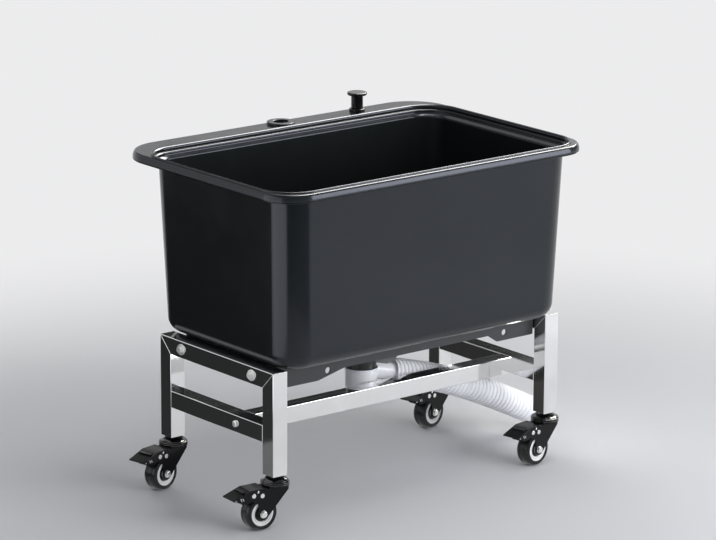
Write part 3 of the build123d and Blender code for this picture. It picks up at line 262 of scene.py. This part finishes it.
# Each look: its material slot, then its finish.
LOOKS = {
    "tub": ("tub_plastic", moulded(
        "tub_plastic_finish", (0.014, 0.0165, 0.0165), (0.0155, 0.018, 0.0185), 0.20, 0.24,
        0.000002, 220.0, Specular_IOR_Level=0.28, Specular_Tint=(0.74, 0.78, 1.0, 1.0),
        Coat_Weight=0.2, Coat_Roughness=0.10)),
    "skirt": ("skirt_plastic", moulded(
        "skirt_plastic_finish", (0.026, 0.028, 0.031), (0.031, 0.033, 0.037), 0.38, 0.46,
        0.00001)),
    "steel_x": ("polished_steel", polished("polished_steel_x", *STEEL, LINES_X)),
    "steel_y": ("polished_steel", polished("polished_steel_y", *STEEL, LINES_Y)),
    "steel_z": ("polished_steel", polished("polished_steel_z", *STEEL, LINES_Z)),
    "bright": ("bright_steel", polished(
        "bright_steel_finish", grey(0.78), grey(0.86), 0.10, 0.18)),
    "bolt": ("bright_steel", polished("bolt_steel_finish", grey(0.80), grey(0.88), 0.30, 0.42)),
    "rivet": ("zinc_steel", polished("rivet_steel_finish", grey(0.80), grey(0.88), 0.20, 0.30)),
    "zinc": ("zinc_steel", polished(
        "zinc_finish", (0.66, 0.67, 0.68), grey(0.78), 0.22, 0.34)),
    "caster": ("caster_paint", moulded(
        "caster_paint_finish", *PAINT, 0.14, 0.20, 0.000004, Specular_IOR_Level=0.12,
        Coat_Weight=0.12, Coat_Roughness=0.05)),
    "race": ("caster_paint", moulded(
        "caster_race_finish", *PAINT, 0.10, 0.16, 0.000002, Coat_Weight=0.6,
        Coat_Roughness=0.04)),
    "pedal": ("pedal_plastic", moulded(
        "pedal_finish", (0.004, 0.004, 0.005), (0.008, 0.008, 0.009), 0.16, 0.24, 0.000008,
        Specular_IOR_Level=0.12, Coat_Weight=0.12, Coat_Roughness=0.08)),
    "hub": ("hub_plastic", moulded(
        "hub_plastic_finish", (0.70, 0.70, 0.69), (0.80, 0.80, 0.79), 0.30, 0.42, 0.000008)),
    "tyre": ("tyre_rubber", moulded(
        "tyre_rubber_finish", (0.007, 0.007, 0.008), (0.011, 0.011, 0.012), 0.22, 0.32, 0.00001,
        Specular_IOR_Level=0.35)),
    "black": ("black_plastic", moulded(
        "black_plastic_finish", (0.012, 0.012, 0.013), (0.018, 0.018, 0.019), 0.30, 0.42,
        0.00001)),
    "white": ("white_plastic", moulded(
        "white_plastic_finish", (0.80, 0.80, 0.83), (0.85, 0.85, 0.88), 0.22, 0.32, 0.000006)),
    "hose": ("hose_plastic", moulded(
        "hose_plastic_finish", (0.86, 0.86, 0.89), (0.90, 0.90, 0.93), 0.42, 0.54, 0.00001,
        Specular_IOR_Level=0.12)),
    "gasket": ("gasket_rubber", moulded(
        "gasket_rubber_finish", grey(0.020), grey(0.028), 0.55, 0.70, 0.00002)),
    "knob": ("knob_plastic", moulded(
        "knob_plastic_finish", (0.008, 0.008, 0.009), (0.012, 0.012, 0.013), 0.10, 0.18,
        0.000003, Specular_IOR_Level=0.3, Coat_Weight=0.2, Coat_Roughness=0.05)),
}
BODY_OF = {node: body for body, nodes in frame["record"]["behaviour"]["bodies"].items()
           for node in nodes}


# ---------------------------------------------------------------- mesh helpers
MERGE, FLAT_ANGLE, BEVEL_ANGLE, CREASE_ANGLE = 0.000002, 0.6, 32.0, 34.0
CORNER_STEPS = 12


def mesh_object(name, points, faces):
    mesh = bpy.data.meshes.new(name)
    mesh.from_pydata([tuple(p) for p in points], [], faces)
    mesh.validate()
    return link(bpy.data.objects.new(name, mesh))


def clean(piece, flatten=False):
    """Merge doubled points, turn the faces outward and, if asked, join faces in one plane."""
    work = bmesh.new()
    work.from_mesh(piece.data)
    bmesh.ops.remove_doubles(work, verts=work.verts, dist=MERGE)
    bmesh.ops.dissolve_degenerate(work, edges=work.edges, dist=MERGE)
    if flatten:
        bmesh.ops.dissolve_limit(work, angle_limit=math.radians(FLAT_ANGLE),
                                 verts=work.verts, edges=work.edges)
    bmesh.ops.recalc_face_normals(work, faces=work.faces)
    work.to_mesh(piece.data)
    work.free()
    return piece


def apply_modifiers(piece):
    graph = bpy.context.evaluated_depsgraph_get()
    mesh = bpy.data.meshes.new_from_object(piece.evaluated_get(graph), depsgraph=graph)
    piece.modifiers.clear()
    old, piece.data = piece.data, mesh
    mesh.name = piece.name
    bpy.data.meshes.remove(old)


def smooth(piece, angle=CREASE_ANGLE):
    piece.data.shade_smooth()
    piece.data.set_sharp_from_angle(angle=math.radians(angle))
    weighted = piece.modifiers.new("weighted", "WEIGHTED_NORMAL")
    weighted.keep_sharp = True
    return piece


def bevel(piece, width, segments):
    edge = piece.modifiers.new("edge", "BEVEL")
    edge.width = width * MM
    edge.segments = segments
    edge.limit_method = "ANGLE"
    edge.angle_limit = math.radians(BEVEL_ANGLE)
    edge.miter_outer = "MITER_ARC"


def dress(piece, look, body, replaces=()):
    """Give a piece its finish, the body that it rides on, and the nodes that it stands for."""
    slot, material = LOOKS[look]
    piece.data.materials.clear()
    piece.data.materials.append(material)
    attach(piece, body)
    if replaces:
        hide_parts(*replaces)
    return piece


def refined(node, look, width, segments=2):
    """A node's own form with its edges rounded by a width in millimetres."""
    mesh = frame["nodes"][node].data.copy()
    piece = clean(link(bpy.data.objects.new(f"{node}_detail", mesh)), flatten=True)
    bevel(piece, width, segments)
    apply_modifiers(piece)
    return dress(smooth(piece), look, BODY_OF[node], [node])


def softened(points, radius, steps=4):
    """A polyline with its inner corners rounded."""
    result = [points[0]]
    for before, corner, after in zip(points, points[1:], points[2:]):
        before, corner, after = Vector(before), Vector(corner), Vector(after)
        into, out = before - corner, after - corner
        reach = min(radius, 0.45 * into.length, 0.45 * out.length)
        a, b = corner + into.normalized() * reach, corner + out.normalized() * reach
        for k in range(steps + 1):
            t = k / steps
            result.append(tuple(a * (1 - t) ** 2 + corner * (2 * t * (1 - t)) + b * t ** 2))
    return result + [points[-1]]


def around(count):
    """Evenly spaced angles of a full turn."""
    return [2 * math.pi * k / count for k in range(count)]


def lathe(name, profile, place, segments):
    """Turned piece from (radius, height) in millimetres about the place's Z axis."""
    points, faces = [], []
    for radius, height in profile:
        for angle in around(segments):
            local = (radius * math.cos(angle) * MM, radius * math.sin(angle) * MM, height * MM)
            points.append(place @ Vector(local))
    for i in range(len(profile) - 1):
        low, high = i * segments, (i + 1) * segments
        for k in range(segments):
            j = (k + 1) % segments
            faces.append((low + k, low + j, high + j, high + k))
    return clean(mesh_object(name, points, faces))


def turned(name, profile, place, segments, look, body, replaces=(), angle=CREASE_ANGLE):
    """A lathed piece, smoothed and dressed."""
    return dress(smooth(lathe(name, profile, place, segments), angle), look, body, replaces)


def lofted(name, rings):
    """Closed skin over rings of equal count, from the last ring back to the first."""
    count = len(rings[0])
    points = [p for ring in rings for p in ring]
    faces = []
    for i in range(len(rings)):
        a, b = i * count, ((i + 1) % len(rings)) * count
        for k in range(count):
            j = (k + 1) % count
            faces.append((a + k, a + j, b + j, b + k))
    return clean(mesh_object(name, points, faces))


def outline_ring(half_x, front, rear, r_front, r_rear, z):
    """Rounded rectangle at height z with its own front and rear corners."""
    ring = []
    for cx, cy, radius, start in (
        (half_x - r_front, -front + r_front, r_front, -90),
        (half_x - r_rear, rear - r_rear, r_rear, 0),
        (-half_x + r_rear, rear - r_rear, r_rear, 90),
        (-half_x + r_front, -front + r_front, r_front, 180),
    ):
        for k in range(CORNER_STEPS + 1):
            angle = math.radians(start + 90 * k / CORNER_STEPS)
            ring.append(point(cx + radius * math.cos(angle), cy + radius * math.sin(angle), z))
    return ring


def boolean(piece, tool, operation):
    """Join a tool to a piece or cut it out, and remove the tool."""
    cut = piece.modifiers.new("cut", "BOOLEAN")
    cut.object = tool
    cut.operation = operation
    cut.solver = "EXACT"
    apply_modifiers(piece)
    bpy.data.objects.remove(tool)


def joined(name, pieces):
    """One object from several."""
    work = bmesh.new()
    for piece in pieces:
        work.from_mesh(piece.data)
        bpy.data.objects.remove(piece)
    mesh = bpy.data.meshes.new(name)
    work.to_mesh(mesh)
    work.free()
    return link(bpy.data.objects.new(name, mesh))


def rod(name, foot, head, radius):
    """Round bar with eased ends between two points, its radius in millimetres."""
    run = head - foot
    half = run.length / MM / 2
    turn = run.to_track_quat("Z", "Y").to_matrix().to_4x4()
    profile = [(0, -half), (0.7 * radius, -half), (radius, -half + 0.4), (radius, half - 0.4),
               (0.7 * radius, half), (0, half)]
    return lathe(name, profile, Matrix.Translation((foot + head) / 2) @ turn, 12)


def upright(x, y):
    """A place on the floor, its Z axis up."""
    return Matrix.Translation(point(x, y, 0.0))


# ---------------------------------------------------------------- tub
def body_ring(inset, z):
    step = inset + (BODY_TOP - z) * BODY_DRAFT
    radius = max(BODY_CORNER - inset, LEAST_CORNER)
    half_y = BODY_HALF_DEPTH - step
    return outline_ring(BODY_HALF_LENGTH - step, half_y, half_y, radius, radius, z)


def opening_ring(grow, z):
    half_y, radius = OPEN_Y + grow, OPEN_R + grow
    return outline_ring(OPEN_X + grow, half_y, half_y, radius, radius, z)


def rim_ring(inset, z):
    return outline_ring(RIM_X - inset, RIM_FRONT - inset, RIM_REAR - inset,
                        RIM_FRONT_R - inset, RIM_REAR_R - inset, z)


def round_ring(radius, z):
    return outline_ring(radius, radius, radius, radius, radius, z)


def between_rings(low, high, share, rise):
    """A ring part of the way from one ring to the next, with its own share of the rise."""
    return [Vector((*a.lerp(b, share).xy, a.z + (b.z - a.z) * rise)) for a, b in zip(low, high)]


def quarter(count):
    """Angles from nought to a quarter turn."""
    return [math.radians(90 * k / count) for k in range(count + 1)]


def basin_rings():
    """The inside, from the drain up to the step under the bead."""
    floor, fillet, neck = FRAME_TOP + TUB_WALL, BODY_FILLET - TUB_WALL, RIM_TOP - LEDGE
    rings = [round_ring(DRAIN_R, WELL_BOTTOM), round_ring(DRAIN_R, DISH_Z),
             round_ring(DISH_R - 2, DISH_Z), round_ring(DISH_R - 0.6, DISH_Z + 0.7),
             round_ring(DISH_R + 0.6, floor - 0.6), round_ring(DISH_R + 2.2, floor)]
    for t in quarter(10):
        rings.append(body_ring(TUB_WALL + fillet * (1 - math.sin(t)),
                               floor + fillet * (1 - math.cos(t))))
    rings += [body_ring(TUB_WALL, z) for z in (*WALL_LEVELS, neck - 7)]
    foot, head = body_ring(TUB_WALL, neck - 7), opening_ring(0, neck + 4)
    shoulder = quarter(8)
    for t in shoulder[1:]:
        rings.append(between_rings(foot, head, (1 - math.cos(2 * t)) / 2, t / shoulder[-1]))
    for t in quarter(6):
        rings.append(opening_ring(STEP * (1 - math.cos(t)), STEP_Z - STEP * (1 - math.sin(t))))
    return rings


def rim_rings(deck):
    """The bead, the deck, and the rolled outer edge down to the rim's foot."""
    groove_width, groove_rise = STEP_GROOVE
    rings = [opening_ring(STEP + groove_width, STEP_Z + groove_rise)]
    for t in quarter(8):
        rings.append(opening_ring(STEP + groove_width + BEAD_R * (1 - math.cos(t)),
                                  RIM_TOP - BEAD_R * (1 - math.sin(t))))
    for t in quarter(5):
        rings.append(opening_ring(BEAD_WIDTH - BEAD_BACK * (1 - math.sin(t)),
                                  RIM_TOP - BEAD_HEIGHT * (1 - math.cos(t))))
    roll_foot, groove_top, groove_foot, lip = (BODY_TOP + rise for rise in RIM_GROOVE_LEVELS)
    for t in quarter(14):
        rings.append(rim_ring(RIM_ROLL * (1 - math.sin(t)),
                              deck - (deck - roll_foot) * (1 - math.cos(t))))
    rings += [rim_ring(RIM_GROOVE, groove_top), rim_ring(RIM_GROOVE, groove_foot),
              rim_ring(0, lip)]
    for t in quarter(4):
        rings.append(rim_ring(RIM_FOOT_R * (1 - math.cos(t)),
                              BODY_TOP + RIM_FOOT_R * (1 - math.sin(t))))
    return rings


def outer_rings(deck):
    """Under the rim, down the outside and round the drain well."""
    under_deck, under_ledge = deck - RIM_WALL, RIM_TOP - LEDGE - TUB_WALL
    rings = [rim_ring(RIM_WALL, BODY_TOP), rim_ring(RIM_WALL, under_deck),
             opening_ring(TUB_WALL, under_deck), opening_ring(TUB_WALL, under_ledge + 2),
             opening_ring(TUB_WALL - 2, under_ledge), body_ring(0, under_ledge - 1)]
    rings += [body_ring(0, z) for z in reversed(WALL_LEVELS)]
    for t in reversed(quarter(10)):
        rings.append(body_ring(BODY_FILLET * (1 - math.sin(t)),
                               FRAME_TOP + BODY_FILLET * (1 - math.cos(t))))
    rings += [round_ring(WELL_R + WELL_EDGE, FRAME_TOP), round_ring(WELL_R, FRAME_TOP - WELL_EDGE),
              round_ring(WELL_R, WELL_BOTTOM + WELL_EDGE),
              round_ring(WELL_R - WELL_EDGE, WELL_BOTTOM)]
    return rings


def build_tub():
    deck = RIM_TOP - BEAD_HEIGHT
    boss_top, boss_foot, above = deck + BOSS_H, deck - RIM_WALL - 2, deck + 20
    tub = lofted("tub_shell", basin_rings() + rim_rings(deck) + outer_rings(deck))
    boss = [(0, boss_foot)] + softened(
        [(BOSS_R - 0.3, boss_foot), (BOSS_R - 0.5, boss_top), (TAP_R + 2, boss_top),
         (0, boss_top)], BOSS_EDGE)
    boolean(tub, lathe("boss_tool", boss, upright(TAP_X, DECK_Y), 72), "UNION")
    hole = [(0, BODY_TOP), (TAP_R, BODY_TOP), (TAP_R, boss_top - 0.8),
            (TAP_R + 0.9, boss_top + 0.1), (TAP_R + 0.9, above), (0, above)]
    boolean(tub, lathe("tap_tool", hole, upright(TAP_X, DECK_Y), 72), "DIFFERENCE")
    hole = [(0, BODY_TOP), (KNOB_HOLE_R, BODY_TOP), (KNOB_HOLE_R, above), (0, above)]
    boolean(tub, lathe("knob_tool", hole, upright(KNOB_X, DECK_Y), 48), "DIFFERENCE")
    dress(smooth(tub, 40.0), "tub", "sink", ["tub"])


build_tub()


# ---------------------------------------------------------------- hose
def hose_centreline():
    """The hose's own line: a smooth spline with the route as its control points."""
    data = bpy.data.curves.new("hose_line", "CURVE")
    data.dimensions = "3D"
    spline = data.splines.new("NURBS")
    spline.points.add(len(HOSE_ROUTE) - 1)
    for control, (x, z) in zip(spline.points, HOSE_ROUTE):
        control.co = (*point(x, 0, z), 1.0)
    spline.order_u = 3
    spline.use_endpoint_u = True
    spline.resolution_u = 24
    line = link(bpy.data.objects.new("hose_line", data))
    bpy.context.view_layer.update()
    mesh = bpy.data.meshes.new_from_object(line)
    path = [v.co.copy() for v in mesh.vertices]
    bpy.data.meshes.remove(mesh)
    bpy.data.objects.remove(line)
    return path


def along(path, distance):
    """Place and direction at a distance along a path."""
    for a, b in zip(path, path[1:]):
        step = (b - a).length
        if distance <= step or b is path[-1]:
            return a + (b - a) * (distance / step), (b - a).normalized()
        distance -= step
    raise AssertionError("empty path")


def build_hose():
    path = hose_centreline()
    length = sum((b - a).length for a, b in zip(path, path[1:]))
    side = Vector((0, 1, 0))
    pitch = length / HOSE_RIBS
    outer = [((rib + share) * pitch, radius) for rib in range(HOSE_RIBS) for share, radius in RIB]
    outer.append((length, HOSE_VALLEY))
    inner = [(s, radius - (HOSE_VALLEY - HOSE_BORE)) for s, radius in reversed(outer)]
    rings = []
    for distance, radius in outer + inner:
        centre, ahead = along(path, min(distance, length))
        up = ahead.cross(side).normalized()
        rings.append([centre + (side * math.cos(a) + up * math.sin(a)) * radius * MM
                      for a in around(HOSE_SEGMENTS)])
    hose = lofted("ribbed_hose", rings)
    dress(smooth(hose, 50.0), "hose", "sink", ["drain_hose"])
    end, ahead = along(path, length)
    turn = ahead.to_track_quat("Z", "Y").to_matrix().to_4x4()
    profile = softened([(HOSE_BORE, 0), (CUFF_R, 0), (CUFF_R, 4), (CUFF_WAIST_R, 5),
                        (CUFF_WAIST_R, 18), (CUFF_R, 19), (CUFF_R, CUFF_LENGTH),
                        (HOSE_BORE, CUFF_LENGTH), (HOSE_BORE, 0)], 0.8)
    cuff = turned("hose_cuff_detail", profile, Matrix.Translation(end) @ turn, HOSE_SEGMENTS,
                  "hose", "sink", ["hose_cuff"])


build_hose()


# ---------------------------------------------------------------- frame
def build_welds():
    """Fine weld seams, ground nearly flush: top rail mitres and the ends of the lower rails."""
    corner, step = FRAME_HALF_DEPTH, FRAME_HALF_DEPTH - TUBE
    # Each seam: (y, z) of its head and of its foot.
    mitre = ((corner - WELD_INSET, FRAME_TOP - WELD_INSET),
             (step + WELD_INSET, FRAME_TOP - TUBE + WELD_INSET))
    rail_end = ((step, LOWER_RAIL_TOP - WELD_INSET), (step, LOWER_RAIL_TOP - TUBE + WELD_INSET))
    for side, name in ((-1, "left"), (1, "right")):
        seams = []
        for face in (FRAME_HALF_LENGTH, FRAME_HALF_LENGTH - TUBE):
            for end in (-1, 1):
                for head, foot in (mitre, rail_end):
                    seams.append(rod(f"seam_{len(seams)}",
                                     point(side * face, end * head[0], head[1]),
                                     point(side * face, end * foot[0], foot[1]), WELD_R))
        dress(smooth(joined(f"{name}_weld_seams", seams), 60.0), "bright", "sink")


def build_frame():
    build_welds()
    for side in ("left", "right"):
        for place in ("front", "rear"):
            refined(f"{side}_{place}_leg", "steel_z", 0.25)
        refined(f"{side}_top_rail", "steel_y", 0.25)
        refined(f"{side}_lower_rail", "steel_y", 0.25)
    refined("long_rail", "steel_x", 0.25)
    refined("long_rail_plugs", "zinc", 0.3)
    refined("long_rail_bolts", "bolt", 0.9, 3)
    refined("skirt_bolts", "bolt", 1.0, 3)
    refined("skirt_washers", "bolt", 0.5)
    refined("skirt_nuts", "zinc", 0.4)
    refined("leg_inserts", "black", 0.5)
    refined("skirt", "skirt", 1.0, 3)


build_frame()


# ---------------------------------------------------------------- casters
def caster_place(name):
    """The caster's swivel axis at the floor, turned as the caster is at rest."""
    side_x, side_y, angle = CASTERS[name]
    turn = Matrix.Rotation(math.radians(angle), 4, "Z")
    return upright(side_x * LEG_X, side_y * LEG_Y) @ turn


def wheel_place(name):
    """The wheel's centre, its axle along Z."""
    centre = Matrix.Translation(Vector((-TRAIL * MM, 0, WHEEL_R * MM)))
    return caster_place(name) @ centre @ Matrix.Rotation(math.radians(90), 4, "X")


def outward(name, x, y, z):
    """Place on a caster's side, its Z axis pointing out of that side."""
    turn = Matrix.Rotation(math.radians(-90 if y > 0 else 90), 4, "X")
    return caster_place(name) @ Matrix.Translation(Vector((x, y, z)) * MM) @ turn


def raised(profile):
    """A profile over the wheel's side face, in heights from the wheel's middle."""
    return [(radius, WHEEL_HALF + height) for radius, height in profile]


def both_sides(profile):
    """A closed profile from its upper half."""
    return profile + [(radius, -height) for radius, height in reversed(profile)] + [profile[0]]


def build_wheel(name):
    place, body = wheel_place(name), f"{name}_wheel"
    turned(f"{name}_tyre_detail", both_sides(softened(raised(TYRE_SIDE), 0.7, 3)), place, 96,
           "tyre", body, [f"{name}_wheel_tyre"], 50.0)
    turned(f"{name}_hub_detail", both_sides(softened(raised(HUB_SIDE), 0.7, 3)), place, 96,
           "hub", body, [f"{name}_wheel_hub"], 40.0)
    ring = softened(raised(RECESS_RING), 0.4, 2)
    # A black ring in the hub's recess on each side, darkening it.
    for side, word in ((1, "near"), (-1, "far")):
        profile = [(radius, side * height) for radius, height in ring]
        turned(f"{name}_hub_recess_ring_{word}", profile, place, 64, "black", body)


def build_caster_trim(name):
    """Lipped race, axle washers, and the studs and ribs on the pedal's flanges."""
    turned(f"{name}_race_lips", softened(RACE_LIPS, 0.5, 3), caster_place(name), 72,
           "race", f"{name}_fork", angle=50.0)
    washers, trim = [], []
    for side in (-1, 1):
        washers.append(lathe(f"washer_{side}", WASHER,
                             outward(name, -TRAIL, side * CHEEK_OUTER, WHEEL_R), 48))
        for x, z, radius in PEDAL_STUDS:
            stud = [(0, -0.2), (radius, -0.2), (radius, 0.4), (0.75 * radius, 0.8), (0, 0.9)]
            trim.append(lathe(f"stud_{side}_{x}", stud,
                              outward(name, x, side * PEDAL_OUTER, z), 24))
        for x in PEDAL_RIBS:
            foot, head = (caster_place(name) @ (Vector((x + dx, side * PEDAL_OUTER, z)) * MM)
                          for dx, z in RIB_ENDS)
            trim.append(rod(f"rib_{side}_{x}", foot, head, RIB_R))
    dress(smooth(joined(f"{name}_axle_washers", washers)), "rivet", f"{name}_fork")
    dress(smooth(joined(f"{name}_pedal_studs", trim)), "rivet", f"{name}_pedal")


def build_casters():
    for name in CASTERS:
        build_wheel(name)
        build_caster_trim(name)
        refined(f"{name}_caster_raceway", "race", 0.8, 3)
        refined(f"{name}_caster_fork", "caster", 0.9, 3)
        refined(f"{name}_caster_axle", "rivet", 1.2, 4)
        refined(f"{name}_caster_rivets", "rivet", 0.5, 3)
        refined(f"{name}_brake_pedal", "pedal", 1.0, 3)
    refined("caster_kingpins", "zinc", 0.4)


build_casters()


# ---------------------------------------------------------------- drain and deck fittings
def build_fittings():
    refined("strainer_flange", "bright", 0.4)
    refined("strainer_basket", "bright", 0.3)
    refined("drain_plug", "bright", 0.6, 3)
    refined("drain_gasket", "gasket", 0.3)
    refined("drain_locknut", "black", 0.6)
    refined("strainer_body", "black", 0.6, 3)
    refined("cable_inlet", "black", 0.8, 3)
    refined("trap_cup", "white", 0.7, 3)
    refined("knob_gasket", "gasket", 0.3)
    refined("knob_locknut", "black", 0.5)
    refined("knob_sleeve", "knob", 0.6, 3)
    refined("lift_knob", "knob", 1.2, 4)


build_fittings()


# ---------------------------------------------------------------- studio
# Places and sizes here are metres in the row's own frame.
FILL, FILL_TONE = 0.24, (0.92, 0.95, 1.0, 1)
BACKDROP = (0.84, 0.84, 0.85)
FLOOR_TONE, FLOOR_SIDES, FLOOR_REACH = (0.74, 0.74, 0.76), 48, 14.0
# The floor turns into the backdrop's tone between these distances, and shows it in reflections.
FLOOR_FADE, MIRROR_SHARE = (0.75, 2.2), 0.6
# How far back a direction points, where reflections begin and end to meet the pale backdrop.
BACK_FADE = (-0.1, 0.6)
CARD_HEIGHT = 0.003
FLAG_TONE = (0.012, 0.014, 0.013)
COOL = (0.95, 0.97, 1.0)
# The dark sector of floor that the tub's near corner reflects: centre, radii, angles in degrees.
SECTOR_CENTRE, SECTOR_RADII, SECTOR_START, SECTOR_END, SECTOR_STEP = (
    (-0.37, -0.23), (1.25, 4.2), 208, 298, 6)
BEHIND_LEFT = [(0.15, 0.27), (0.15, 1.0), (-1.2, 2.6), (-2.6, 2.6), (-2.6, 1.5), (-1.1, 0.27)]
# Lamps: name, place, target, size, watts, tone, what they show in.
LAMPS = [
    ("key", (0.9, -3.4, 1.3), (0, -0.2, 0.42), (2.6, 1.2), 67, COOL, "diffuse"),
    ("overhead", (0.5, -0.4, 3.4), (0.2, -0.2, 0), (1.8, 1.6), 28, (1, 1, 1), "diffuse"),
    ("low_fill", (1.5, -1.6, 0.4), (0.2, 0, 0.15), (1.2, 0.4), 12, COOL, "diffuse"),
    ("rear_fill", (0.6, 3.2, 1.4), (0, 0.2, 0.4), (2.4, 1.4), 32, (1, 1, 1), "diffuse"),
    ("left_strip", (-1.2, -0.07, 0.62), (-0.37, -0.23, 0.62), (1.2, 1.3), 6.6, (1, 1, 1),
     "glossy"),
    ("window", (1.9, -2.3, 1.3), (0, 0, 0.74), (1.5, 1.7), 58, COOL, "glossy"),
    ("side_window", (1.69, 0.41, 2.88), (-0.1, 0.25, 0.74), (1.8, 3.2), 410,
     (1.0, 0.98, 0.91), "glossy"),
]


def stage_finish(name, tone):
    """Matt finish of a floor or a card, a little uneven."""
    finish = Finish(name, 0.9, Specular_IOR_Level=0.1)
    finish.colour(finish.noise(0.9, 1.0), tone, tuple(c * 1.03 for c in tone))
    return finish


def flag(name, corners, tone=FLAG_TONE):
    """Dark card that only reflections meet, as they would meet a dark room in polished metal; the
    floor cards under and beside the tub are painted floor shade in reflections.
    """
    piece = mesh_object(name, corners, [tuple(range(len(corners)))])
    piece.data.materials.append(stage_finish(f"{name}_finish", tone).material)
    piece.visible_camera = False
    piece.visible_diffuse = False
    piece.visible_shadow = False
    piece.visible_transmission = False


def floor_card(x_low, x_high, y_low, y_high):
    return [(x, y, CARD_HEIGHT)
            for x, y in ((x_low, y_low), (x_high, y_low), (x_high, y_high), (x_low, y_high))]


def upright_card(x_low, x_high, y, z_low, z_high):
    return [(x_low, y, z_low), (x_high, y, z_low), (x_high, y, z_high), (x_low, y, z_high)]


def floor_sector():
    """A sector of the floor in front of the object's near corner."""
    near, far = SECTOR_RADII
    out = range(SECTOR_START, SECTOR_END + 1, SECTOR_STEP)
    back = range(SECTOR_END, SECTOR_START - 1, -SECTOR_STEP)
    centre_x, centre_y = SECTOR_CENTRE
    return [(centre_x + radius * math.cos(math.radians(turn)),
             centre_y + radius * math.sin(math.radians(turn)), CARD_HEIGHT)
            for radius, turns in ((near, out), (far, back)) for turn in turns]


def softbox(name, place, target, size, power, tone, shows_in):
    """Rectangular lamp that only diffuse light or only reflections meet."""
    data = bpy.data.lights.new(name, "AREA")
    data.shape = "RECTANGLE"
    data.size, data.size_y = size
    data.energy = power
    data.color = tone
    light = bpy.data.objects.new(name, data)
    ahead = (Vector(target) - Vector(place)).to_track_quat("-Z", "Y")
    light.matrix_world = Matrix.Translation(Vector(place)) @ ahead.to_matrix().to_4x4()
    light.visible_camera = False
    light.visible_glossy = shows_in == "glossy"
    light.visible_diffuse = shows_in == "diffuse"
    link(light)


def build_world():
    """Pale backdrop for the camera and for reflections of what lies behind, low fill elsewhere."""
    world = bpy.data.worlds.new("studio")
    bpy.context.scene.world = world
    world.use_nodes = True
    tree = world.node_tree
    fill = tree.nodes["Background"]
    fill.inputs["Color"].default_value = FILL_TONE
    fill.inputs["Strength"].default_value = FILL
    pale = tree.nodes.new("ShaderNodeBackground")
    pale.inputs["Color"].default_value = (*BACKDROP, 1)
    ray = tree.nodes.new("ShaderNodeLightPath")
    place = tree.nodes.new("ShaderNodeTexCoord")
    split = tree.nodes.new("ShaderNodeSeparateXYZ")
    tree.links.new(place.outputs["Generated"], split.inputs["Vector"])
    back = ranged(tree, split.outputs["Y"], *BACK_FADE, 0.0, 1.0, "SMOOTHSTEP")
    mirror = combined(tree, "MULTIPLY", ray.outputs["Is Glossy Ray"], back)
    seen = combined(tree, "MAXIMUM", ray.outputs["Is Camera Ray"], mirror)
    mix = blended(tree, seen, fill.outputs["Background"], pale.outputs["Background"])
    tree.links.new(mix, tree.nodes["World Output"].inputs["Surface"])


def build_floor():
    """Pale floor, lit and shadowed near the object, that turns into the backdrop's tone far off."""
    corners = [(FLOOR_REACH * math.cos(angle), FLOOR_REACH * math.sin(angle), 0)
               for angle in around(FLOOR_SIDES)]
    piece = mesh_object("floor", corners, [tuple(range(FLOOR_SIDES))])
    finish = stage_finish("floor_finish", FLOOR_TONE)
    tree = finish.tree
    far = tree.nodes.new("ShaderNodeVectorMath")
    far.operation = "LENGTH"
    tree.links.new(finish.place, far.inputs[0])
    share = ranged(tree, far.outputs["Value"], *FLOOR_FADE, 0.0, 1.0, "SMOOTHSTEP")
    ray = tree.nodes.new("ShaderNodeLightPath")
    mirror = combined(tree, "MAXIMUM", ray.outputs["Is Glossy Ray"],
                      ray.outputs["Is Transmission Ray"])
    amount = combined(
        tree, "MAXIMUM", combined(tree, "MULTIPLY", ray.outputs["Is Camera Ray"], share),
        combined(tree, "MULTIPLY", mirror, combined(tree, "MAXIMUM", share, MIRROR_SHARE)))
    pale = tree.nodes.new("ShaderNodeEmission")
    pale.inputs["Color"].default_value = (*BACKDROP, 1)
    mix = blended(tree, amount, finish.shader.outputs["BSDF"], pale.outputs["Emission"])
    tree.links.new(mix, tree.nodes["Material Output"].inputs["Surface"])
    piece.data.materials.append(finish.material)


def build_studio():
    bpy.context.scene.view_settings.view_transform = "Standard"
    build_world()
    build_floor()
    flag("flag_behind", [(x, y, CARD_HEIGHT) for x, y in BEHIND_LEFT])
    flag("flag_high", upright_card(-0.4, 0.5, 1.2, 1.1, 2.6))
    flag("flag_far", upright_card(0.9, 2.4, 2.0, 0.72, 1.1))
    flag("flag_near", floor_sector())
    # Painted shade: dim cards that reflections see in place of the shaded floor under and to the
    # left of the tub.
    flag("flag_under", floor_card(-0.3, 0.25, 0, 0.27), (0.08, 0.075, 0.07))
    flag("flag_side", floor_card(-1.1, -0.5, 0, 0.27), (0.24, 0.24, 0.24))
    for lamp in LAMPS:
        softbox(*lamp)


build_studio()
